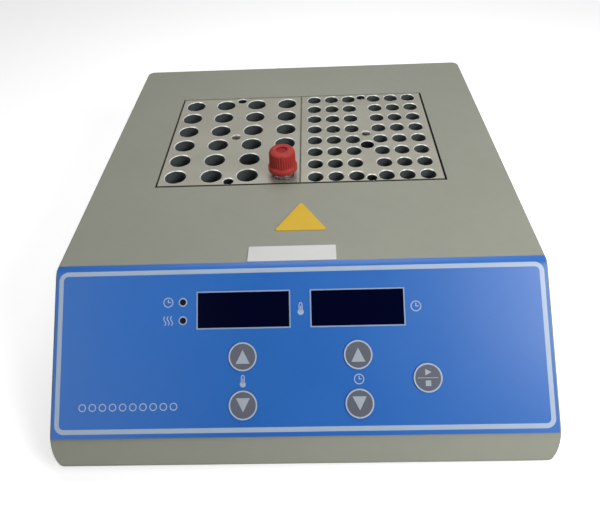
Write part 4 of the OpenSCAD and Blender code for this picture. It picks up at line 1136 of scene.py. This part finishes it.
@dataclass
class TubeBlocks:
    """Hole rims painted bright as a highlight on the machined chamfers, and bores painted dark as the
    shade inside the holes of the two blocks.
    """

    housing: Housing
    repeater: Repeater
    well_setback: float = 61.15
    block_w: float = 75.75
    block_d: float = 95.3
    block_gap: float = 0.3
    well_gap: float = 0.7
    chamfer: float = 0.5
    # Width of the band painted as a highlight on each hole's chamfer.
    bright: float = 0.42
    big_pitch: tuple[float, float] = (19.4, 15.6)
    small_pitch: tuple[float, float] = (10.9, 12.1)
    lane_w: float = 15.8
    guide_y: float = 44.2
    probe_y: float = -11.9
    narrow_r: float = 4.0
    big_hole: tuple[float, float] = (5.65, 33.0)
    small_hole: tuple[float, float] = (4.1, 28.0)
    probe_hole: tuple[float, float] = (3.75, 28.0)
    guide_hole: tuple[float, float] = (2.65, 29.0)
    lifting_hole: tuple[float, float] = (2.5, 13.8)
    thread_turns: int = 12
    thread_from: float = 0.95
    thread_r: tuple[float, float] = (2.46, 2.15)
    steps: int = 48
    thread_steps: int = 40

    def build(self) -> None:
        """Builds the rims (painted highlight), the bores (painted shade), the lifting threads and the
        edges (painted shade).
        """
        for holes in self._hole_sets():
            dark = BORE_SHADE if holes.radius > self.narrow_r else NARROW_BORE_SHADE
            for part, item, finish in (("_rims", self._rim(holes.radius), RIM_HIGHLIGHT),
                                       ("_bores", self._bore(holes), dark)):
                self._repeat(holes.name + part, item, holes.places, finish, holes.block)
        for side, block in BLOCK_SIDES:
            self._build_thread(side, block)
            # Dark chamfer strips: painted shade of the gap round the block.
            edges = Shape.together(self._edges(side)).mesh(block + "_edges")
            piece(block + "_edge_tarnish", edges, BLOCK_EDGE_SHADE, block, "block_aluminium")

    def _repeat(self, name: str, item: Mesh, places: Sequence[Vector], finish: Finish,
                block: str, crease_deg: float = 30.0) -> None:
        """Stands copies of an item on a block, as one piece.

        Args:
            name: Name of the piece.
            item: The mesh to repeat.
            places: Where the copies stand.
            finish: Their finish.
            block: The block.
            crease_deg: Angle above which an edge stays sharp.
        """
        mesh = finished_mesh(self.repeater.mesh(item, places, finish), crease_deg)
        piece(name, mesh, finish, block, "block_aluminium")

    def _spot(self, side: int, x: float, y: float) -> Vector:
        """Finds a place on the top of a block.

        Args:
            side: -1 for the left block, 1 for the right one.
            x: Sideways distance from the block's middle.
            y: Distance towards the back from the block's middle.

        Returns:
            The place.
        """
        middle_y = self.housing.fold_y + self.well_setback + self.well_gap + self.block_d / 2
        return Vector((side * (self.block_w + self.block_gap) / 2 + x, middle_y + y, self.housing.top_z))

    def _hole_sets(self) -> list[HoleSet]:
        """Sets out the holes; the size of each is its radius and its depth.

        Returns:
            Every set of holes.
        """
        (wide, long), (near, row) = self.big_pitch, self.small_pitch
        left = tuple(self._spot(-1, (i - 1.5) * wide, (2.5 - j) * long)
                     for i in range(4) for j in range(6))
        columns = [side * (self.lane_w / 2 + i * near) for side in (-1, 1) for i in range(3)]
        right = tuple(self._spot(1, c, (3.5 - j) * row) for c in columns for j in range(8))
        probe = (self._spot(1, 0, self.probe_y),)
        sets = [HoleSet("big_holes", "left_block", *self.big_hole, left),
                HoleSet("small_holes", "right_block", *self.small_hole, right),
                HoleSet("thermometer_hole", "right_block", *self.probe_hole, probe)]
        for side, block in BLOCK_SIDES:
            guides = tuple(self._spot(side, 0, y) for y in (-self.guide_y, self.guide_y))
            middle = (self._spot(side, 0, 0),)
            sets += [HoleSet(block + "_guide_holes", block, *self.guide_hole, guides),
                     HoleSet(block + "_lifting_hole", block, *self.lifting_hole, middle)]
        return sets

    def _edges(self, side: int) -> list[Shape]:
        """Makes dark strips on the chamfers of a block, at its front and on its outer side: painted
        shade of the gap round it.

        Args:
            side: -1 for the left block, 1 for the right one.

        Returns:
            The two strips.
        """
        c, middle = self.chamfer, self._spot(side, 0, 0)
        skin = [(c - 0.02, 0.02), (-0.03, -c + 0.02), (-0.03, -1.6),
                (0.03, -1.6), (0.03, -c - 0.02), (c, -0.05)]
        half_w, half_d = self.block_w / 2, self.block_d / 2
        sides = ((half_w, lambda q: Vector((q.z, q.x - half_d, q.y))),
                 (half_d, lambda q: Vector((side * (half_w - q.x), side * -q.z, q.y))))
        return [Shape.prism(skin, 0.02 - reach, reach - 0.02).placed(lambda q, lay=lay: lay(q) + middle)
                for reach, lay in sides]

    def _rim(self, radius: float) -> Mesh:
        """Makes a thin ring that lies on the upper part of a hole's chamfer, painted near-white as a
        highlight.

        Args:
            radius: Radius of the hole.

        Returns:
            The ring, around the origin.
        """
        skin, wide = 0.015, radius + self.chamfer
        loop = [(wide + 0.02, skin), (wide - self.bright, skin - self.bright),
                (wide - self.bright + 0.04, -self.bright - 0.05), (wide + 0.06, -0.04)]
        return Shape.turned(loop, self.steps, closed=True).mesh("rim", 20)

    def _bore(self, holes: HoleSet) -> Mesh:
        """Makes the thin skin of a hole, painted dark as the shade inside it; a locating hole leaves it
        open at its end.

        Args:
            holes: The set of holes.

        Returns:
            The skin, around the origin.
        """
        r, low, mouth = holes.radius, -holes.depth, self.chamfer
        lip = r + mouth - self.bright
        outer = [(r - 0.01, low), (r - 0.01, -mouth - 0.01), (lip - 0.01, -self.bright - 0.01)]
        inner = [(lip - 0.05, -self.bright + 0.01), (r - 0.05, -mouth), (r - 0.05, low)]
        if "guide" in holes.name:
            return Shape.turned(outer + inner, self.steps, closed=True).mesh("bore", 30)
        tip = low - r * math.tan(math.radians(30))
        ended = [(0, tip + 0.03)] + outer + inner + [(0, tip + 0.08)]
        return Shape.turned(ended, self.steps).mesh("bore", 30)

    def _build_thread(self, side: int, block: str) -> None:
        """Stands bright thread crests in a block's lifting hole.

        Args:
            side: -1 for the left block, 1 for the right one.
            block: The block.
        """
        root, top = self.thread_r
        ridge = [(root, -0.3), (root, 0.3), (top, 0.06), (top, -0.06)]
        crest = Shape.turned(ridge, self.thread_steps, closed=True)
        spot = self._spot(side, 0, 0)
        places = [spot - Vector((0, 0, self.thread_from + k)) for k in range(self.thread_turns)]
        self._repeat(block + "_thread", crest.mesh("crest", 20), places, THREAD_METAL, block, 20)


@dataclass
class TubeCap:
    """The ribbed red cap, with its ribs made by a rule."""

    housing: Housing
    height: float = 12.2
    radius: float = 6.65
    rim_r: float = 7.7
    bore_r: float = 5.25
    recess_r: float = 2.9
    recess_low: float = 0.97
    taper: float = 0.12
    shoulder_r: float = 1.3
    lip_r: float = 0.5
    rib_h: float = 0.3
    rib_low: float = 3.7
    rib_stop: float = 1.3
    rib_count: int = 32
    steps: int = 256

    def build(self) -> None:
        """Builds the cap."""
        low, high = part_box("tube_cap")
        middle = (low + high) / 2 / MM
        base = Vector((middle.x, middle.y, low.z / MM))
        plain = Shape.turned(self._profile(), self.steps, closed=True)
        mesh = self._rib_rule().run(
            object_of("cap", plain.mesh("cap", 50)), Rib_count=float(self.rib_count),
            Rib_height=self.rib_h * MM, Ribs_from=self.rib_low * MM,
            Ribs_to=(self.height - self.rib_stop) * MM, Outside=(self.radius - 0.6) * MM)
        mesh.transform(Matrix.Translation(base * MM))
        piece("tube_cap_moulding", finished_mesh(mesh, 55), CAP_RED, "tube_cap", "cap_red", "tube_cap")
        # Darker red lining of the top recess: painted shade in the recess.
        deep, wide = self.height - self.recess_low, self.recess_r - 0.02
        well = [(0, deep), (wide - 0.1, deep), (wide, deep + 0.1), (wide, self.height - 0.4),
                (wide - 0.04, self.height - 0.4), (wide - 0.14, deep + 0.05), (0, deep + 0.04)]
        recess_shade = Shape.turned(well, 64).placed(lambda c: c + base)
        piece("tube_cap_recess", recess_shade.mesh("tube_cap_recess"), RECESS_SHADE_RED, "tube_cap", "cap_red")

    def _profile(self) -> list[Point]:
        """Draws the cap's closed profile, from the mouth of its bore round its outside.

        Returns:
            The points.
        """
        top, r, well, bore = self.height, self.radius, self.recess_r, self.bore_r
        sides = [(r - self.taper * k / 10, 3.5 + (top - 5.0) * k / 10) for k in range(11)]
        shoulder = arc((r - self.taper - self.shoulder_r, top - 1.5), self.shoulder_r, 0, 60, 6)
        lip = arc((r - 2.1, top - self.lip_r), self.lip_r, 60, 90, 3)
        return (
            [(bore, 0.25), (bore + 0.25, 0), (self.rim_r - 0.3, 0), (self.rim_r, 0.3),
             (self.rim_r, 2.4), (self.rim_r - 0.15, 2.65), (r + 0.2, 3.2)]
            + sides + shoulder + lip
            + [(well + 0.35, top), (well + 0.08, top - 0.1), (well, top - 0.35), (well, top - 0.9),
               (well - 0.3, top - 1), (0.02, top - 1), (0.02, top - 2.2), (bore - 0.2, top - 2.2),
               (bore, top - 2.4)]
        )

    def _rib_rule(self) -> GeometryRule:
        """Builds the tree that raises the ribs.

        Returns:
            The tree, as a rule to run.
        """
        work = GeometryRule("cap_ribs", Geometry="Geometry", Rib_count="Float", Rib_height="Float",
                            Ribs_from="Float", Ribs_to="Float", Outside="Float")
        given = work.given
        place = work.add("GeometryNodeInputPosition").outputs[0]
        axes = work.add("ShaderNodeSeparateXYZ", {0: place}).outputs
        flat = work.add("ShaderNodeCombineXYZ", {0: axes[0], 1: axes[1]}).outputs[0]
        outward = work.add("ShaderNodeVectorMath", {0: flat}, operation="NORMALIZE").outputs[0]
        reach = work.add("ShaderNodeVectorMath", {0: flat}, operation="LENGTH").outputs["Value"]
        angle = work.sum("MULTIPLY", work.sum("ARCTAN2", axes[1], axes[0]), given["Rib_count"])
        wave = work.span(work.sum("COSINE", angle), -0.3, 0.5, 0.0, 1.0)
        above = work.span(work.sum("SUBTRACT", axes[2], given["Ribs_from"]), -0.0002, 0.0003, 0.0, 1.0)
        below = work.span(work.sum("SUBTRACT", given["Ribs_to"], axes[2]), -0.0003, 0.0006, 0.0, 1.0)
        outside = work.sum("GREATER_THAN", reach, given["Outside"])
        height = work.sum("MULTIPLY", work.sum("MULTIPLY", wave, given["Rib_height"]), outside)
        height = work.sum("MULTIPLY", work.sum("MULTIPLY", above, below), height)
        offset = work.add("ShaderNodeVectorMath", {0: outward, "Scale": height}, operation="SCALE")
        moved = work.add("GeometryNodeSetPosition", {
            "Geometry": given["Geometry"], "Offset": offset.outputs[0]})
        work.hand_out(moved.outputs[0], CAP_RED.material())
        return work


@dataclass
class Fasteners:
    """Pan-head screws with a cross recess, in place of the plain ones."""

    housing: Housing
    repeater: Repeater
    shank_r: float = 1.5
    head_r: float = 2.8
    recess_w: float = 0.75
    recess_r: float = 1.6
    recess_depth: float = 1.0
    steps: int = 40

    def build(self) -> None:
        """Builds the visible sets of screws."""
        self._set("cover_screws", Vector((0, 0, -1)), 1.8)
        self._set("rear_screws", Vector((0, 1, 0)), 1.8)
        self._set("inlet_screws", Vector((0, 1, 0)), 1.0)

    def _set(self, node: str, out: Vector, head_h: float) -> None:
        """Replaces one node's screws.

        Args:
            node: The node.
            out: The direction that the heads face.
            head_h: Height of the heads.
        """
        found = self._places(node, out)
        item = self._screw(head_h, found[0][1] - head_h)
        item.transform(Vector((0, 0, 1)).rotation_difference(out).to_matrix().to_4x4())
        places = [place - out * head_h for place, _ in found]
        mesh = finished_mesh(self.repeater.mesh(item, places, SCREW_ZINC), 40)
        piece(node + "_turned", mesh, SCREW_ZINC, HOUSING, "zinc_fastener", node)

    def _places(self, node: str, out: Vector) -> list[tuple[Vector, float]]:
        """Finds the screws in a node's mesh.

        Args:
            node: The node.
            out: The direction that the heads face.

        Returns:
            Each screw's crown and full length.
        """
        work = joined(self.housing.frame["nodes"][node].data)
        left = set(work.verts)
        found = []
        while left:
            group, edge = set(), [left.pop()]
            while edge:
                corner = edge.pop()
                group.add(corner)
                near = {e.other_vert(corner) for e in corner.link_edges} & left
                left -= near
                edge += near
            points = [c.co / MM for c in group]
            heights = [p.dot(out) for p in points]
            low = Vector(min(p[i] for p in points) for i in range(3))
            high = Vector(max(p[i] for p in points) for i in range(3))
            centre = (low + high) / 2
            centre += out * (max(heights) - centre.dot(out))
            found.append((centre, max(heights) - min(heights)))
        work.free()
        return sorted(found, key=lambda item: tuple(item[0]))

    def _screw(self, head_h: float, length: float) -> Mesh:
        """Makes one screw along Z, with the underside of its head at the origin.

        Args:
            head_h: Height of its head.
            length: Length of its shank.

        Returns:
            The screw.
        """
        shank, head = self.shank_r, self.head_r
        dome = [(head * math.cos(a), head_h * (0.45 + 0.55 * math.sin(a)))
                for a in map(math.radians, range(0, 90, 15))]
        profile = [(0, -length), (shank - 0.3, -length), (shank, 0.4 - length), (shank, 0),
                   (head - 0.15, 0), (head, 0.15)] + dome + [(0, head_h)]
        screw = object_of("screw", Shape.turned(profile, self.steps).mesh("screw"))
        arm, half = self.recess_r, self.recess_w / 2
        cross = [(half, half), (half, arm), (-half, arm), (-half, half), (-arm, half), (-arm, -half),
                 (-half, -half), (-half, -arm), (half, -arm), (half, -half), (arm, -half), (arm, half)]
        depth = min(self.recess_depth, head_h * 0.7)
        cutter = object_of("recess", Shape.prism(cross, head_h - depth, head_h + 1).mesh("recess"))
        cut = screw.modifiers.new("recess", "BOOLEAN")
        cut.object, cut.operation, cut.solver = cutter, "DIFFERENCE", "EXACT"
        mesh = baked(screw)
        bpy.data.objects.remove(cutter)
        return mesh


@dataclass
class RoundedCopies:
    """Moulded pieces whose plain edges are rounded, in place of their sharp nodes."""

    housing: Housing
    flat_deg: float = 1.5
    edge_deg: float = 32.0
    crease_deg: float = 45.0

    def build(self) -> None:
        """Rounds the edges of the moulded pieces that show."""
        for node, radius, body in (("mains_inlet", 0.35, HOUSING), ("switch_body", 0.3, HOUSING),
                                   ("fuse_drawer", 0.2, "fuse_drawer"),
                                   ("power_rocker", 0.35, "power_rocker")):
            self._round(node, radius, body, "component_black")
        self._round("rubber_feet", 0.6, HOUSING, "foot_rubber")

    def _round(self, node: str, radius: float, body: str, slot: str) -> None:
        """Replaces a node by a merged copy with rounded edges.

        Args:
            node: The node.
            radius: Radius of its edges.
            body: The body that it rides on.
            slot: The record's material slot.
        """
        mesh = self.housing.frame["nodes"][node].data.copy()
        work = joined(mesh)
        bmesh.ops.dissolve_limit(
            work, angle_limit=math.radians(self.flat_deg), verts=work.verts, edges=work.edges)
        work.to_mesh(mesh)
        work.free()
        holder = object_of(node + "_copy", mesh)
        bevel = holder.modifiers.new("edges", "BEVEL")
        bevel.width, bevel.segments, bevel.limit_method = radius * MM, 2, "ANGLE"
        bevel.angle_limit = math.radians(self.edge_deg)
        bevel.use_clamp_overlap = True
        rounded = baked(holder)
        rounded.shade_smooth()
        rounded.set_sharp_from_angle(angle=math.radians(self.crease_deg))
        piece(node + "_rounded", rounded, NODE_FINISHES[node], body, slot, node)


@dataclass
class RockerMarks:
    """The on bar and the off ring printed on the rocker."""

    housing: Housing
    print_t: float = 0.05
    sink: float = 0.1
    bar: Edges = (-0.35, 0.35, -1.7, 1.7)
    ring: tuple[float, float] = (1.8, 1.15)
    facing: float = 0.8
    off_middle: float = 2.0

    def build(self) -> None:
        """Prints the two marks on the rocker's two faces."""
        bar = Shape.prism(box_corners(self.bar), -self.sink, self.print_t)
        ring = Shape.band([circle((0, 0), r) for r in self.ring], -self.sink, self.print_t)
        across = Vector((-1, 0, 0))
        shapes = []
        for mark, side in ((bar, 1), (ring, -1)):
            centre, out = self._face(side)
            turn = Matrix((across, out.cross(across), out)).transposed()
            shapes.append(mark.placed(lambda c, turn=turn, centre=centre: turn @ c + centre))
        mesh = Shape.together(shapes).mesh("rocker_marks")
        piece("rocker_marks", mesh, WHITE_PRINT, "power_rocker", "component_black")

    def _face(self, side: int) -> tuple[Vector, Vector]:
        """Measures the rocker's upper or lower working face.

        Args:
            side: 1 for the upper face, -1 for the lower one.

        Returns:
            The middle of the face in millimetres, and its normal.
        """
        low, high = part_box("power_rocker")
        middle = (low + high) / 2
        area, centre, normal = 0.0, Vector(), Vector()
        for polygon in self.housing.frame["nodes"]["power_rocker"].data.polygons:
            off = (polygon.center.z - middle.z) * side / MM
            if polygon.normal.y > self.facing and off > self.off_middle:
                area += polygon.area
                centre += polygon.center * polygon.area
                normal += polygon.normal * polygon.area
        centre /= area * MM
        centre.x = middle.x / MM
        return centre, normal.normalized()


@dataclass
class Studio:
    """Camera at the photograph's viewing angle, soft lights, white ground."""

    housing: Housing
    pitch_deg: float = 37.426
    yaw_deg: float = 2.431
    roll_deg: float = -3.031
    lens_mm: float = 36.23
    sensor_mm: float = 36.0
    shift_y: float = -0.104
    eye: tuple[float, float, float] = (10.475, -194.122, 184.73)
    floor_m: float = 6.0
    ambient: float = 0.1
    front_gloss: float = 0.04
    side_gloss: float = 3.2
    back_gloss: float = 0.45
    ground_glow: float = 0.62
    back_span: Point = (-0.45, 0.4)
    side_span: Point = (-0.55, -0.1)
    low_span: Point = (-0.3, 0.1)
    paper: Point = (0.86, 0.88)
    lights: tuple[tuple[str, tuple[float, float, float], float, float], ...] = (
        ("front", (0.36, -0.33, 0.36), 0.3, 2.22), ("top", (0.025, 0.12, 0.5), 0.4, 1.15))
    aim: tuple[float, float, float] = (0.0, 0.0, 0.04)

    def build(self) -> None:
        """Builds the camera, the lights and the floor."""
        self._camera()
        self._lights()
        self._world()
        self._floor()

    def _camera(self) -> None:
        """Sets the camera on its eye point, which is given from the fold line's middle."""
        data = bpy.data.cameras.new("camera")
        data.lens, data.sensor_width, data.sensor_fit = self.lens_mm, self.sensor_mm, "HORIZONTAL"
        data.shift_y, data.clip_start, data.clip_end = self.shift_y, 0.01, 100.0
        camera = object_of("camera", data)
        turn = Matrix.Identity(4)
        for degrees, axis in ((self.yaw_deg, "Z"), (90 - self.pitch_deg, "X"), (self.roll_deg, "Z")):
            turn = turn @ Matrix.Rotation(math.radians(degrees), 4, axis)
        place = Vector(self.eye) + Vector((0, self.housing.fold_y, self.housing.top_z))
        camera.matrix_world = Matrix.Translation(place * MM) @ turn
        bpy.context.scene.camera = camera

    def _lights(self) -> None:
        """Hangs the soft lamps, each turned to the middle of the object."""
        for name, place, size, power in self.lights:
            data = bpy.data.lights.new(name, "AREA")
            data.shape, data.size, data.energy = "DISK", size, power
            turn = (Vector(self.aim) - Vector(place)).to_track_quat("-Z", "Y").to_matrix().to_4x4()
            object_of(name, data).matrix_world = Matrix.Translation(place) @ turn

    def _world(self) -> None:
        """Gives a faint light all round, gloss that is bright behind and beside, and a white ground."""
        world = bpy.data.worlds.new("studio")
        bpy.context.scene.world = world
        world.use_nodes = True
        work = NodeWork(world.node_tree)
        path = work.add("ShaderNodeLightPath").outputs
        place = work.add("ShaderNodeTexCoord").outputs["Generated"]
        axes = work.add("ShaderNodeSeparateXYZ", {0: place}).outputs
        behind = work.span(axes[1], *self.back_span, self.front_gloss, self.back_gloss)
        beside = work.span(axes[0], *self.side_span, self.side_gloss, 0.0)
        low_front = work.span(axes[1], *self.low_span, 1.0, 0.0)
        behind = work.sum("ADD", behind, work.sum("MULTIPLY", beside, low_front))
        seen = work.sum("MAXIMUM", path["Is Camera Ray"], path["Is Transmission Ray"])
        shiny = work.sum("MULTIPLY", path["Is Glossy Ray"], behind)
        strength = work.sum("MAXIMUM", work.sum("MAXIMUM", seen, shiny), self.ambient)
        light = work.add("ShaderNodeBackground", {"Color": (1.0, 1.0, 1.0, 1.0), "Strength": strength})
        work.add("ShaderNodeOutputWorld", {"Surface": light.outputs[0]})

    def _floor(self) -> None:
        """Lays the pale floor that takes the shadow."""
        half = self.floor_m / 2 / MM
        plate = Shape.prism(box_corners((-half, half, -half, half)), -20.0, -0.05)
        floor = object_of("floor", plate.mesh("floor"))
        paper = bpy.data.materials.new("floor_paper")
        paper.use_nodes = True
        work = NodeWork(paper.node_tree)
        path = work.add("ShaderNodeLightPath").outputs
        seen = work.sum("MAXIMUM", path["Is Camera Ray"], path["Is Transmission Ray"])
        place = work.add("ShaderNodeTexCoord").outputs["Object"]
        fibre = work.add("ShaderNodeTexNoise", {"Vector": place, "Scale": 40.0}).outputs["Fac"]
        shades = {0: fibre, 6: (self.paper[0],) * 3 + (1.0,), 7: (self.paper[1],) * 3 + (1.0,)}
        white = work.add("ShaderNodeMix", shades, data_type="RGBA").outputs[2]
        matt = work.add("ShaderNodeBsdfDiffuse", {"Color": white})
        power = work.sum("MULTIPLY", seen, self.ground_glow)
        glow = work.add("ShaderNodeEmission", {"Color": (1.0, 1.0, 1.0, 1.0), "Strength": power})
        both = work.add("ShaderNodeAddShader", {0: matt.outputs[0], 1: glow.outputs[0]})
        work.add("ShaderNodeOutputMaterial", {"Surface": both.outputs[0]})
        floor.data.materials.append(paper)


def main() -> None:
    """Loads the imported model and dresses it."""
    logging.basicConfig(level=logging.INFO, format="%(name)s %(message)s")
    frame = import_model()
    bpy.context.scene.view_settings.view_transform = "Standard"
    housing = Housing(frame)
    Studio(housing).build()
    housing.dress()
    repeater = Repeater()
    PanelArtwork(housing, repeater).build()
    for node, mark in PANEL_KEYS.items():
        PanelKey(housing, node, mark).build()
    TubeBlocks(housing, repeater).build()
    TubeCap(housing).build()
    Fasteners(housing, repeater).build()
    RoundedCopies(housing).build()
    RockerMarks(housing).build()


if __name__ == "__main__":
    main()
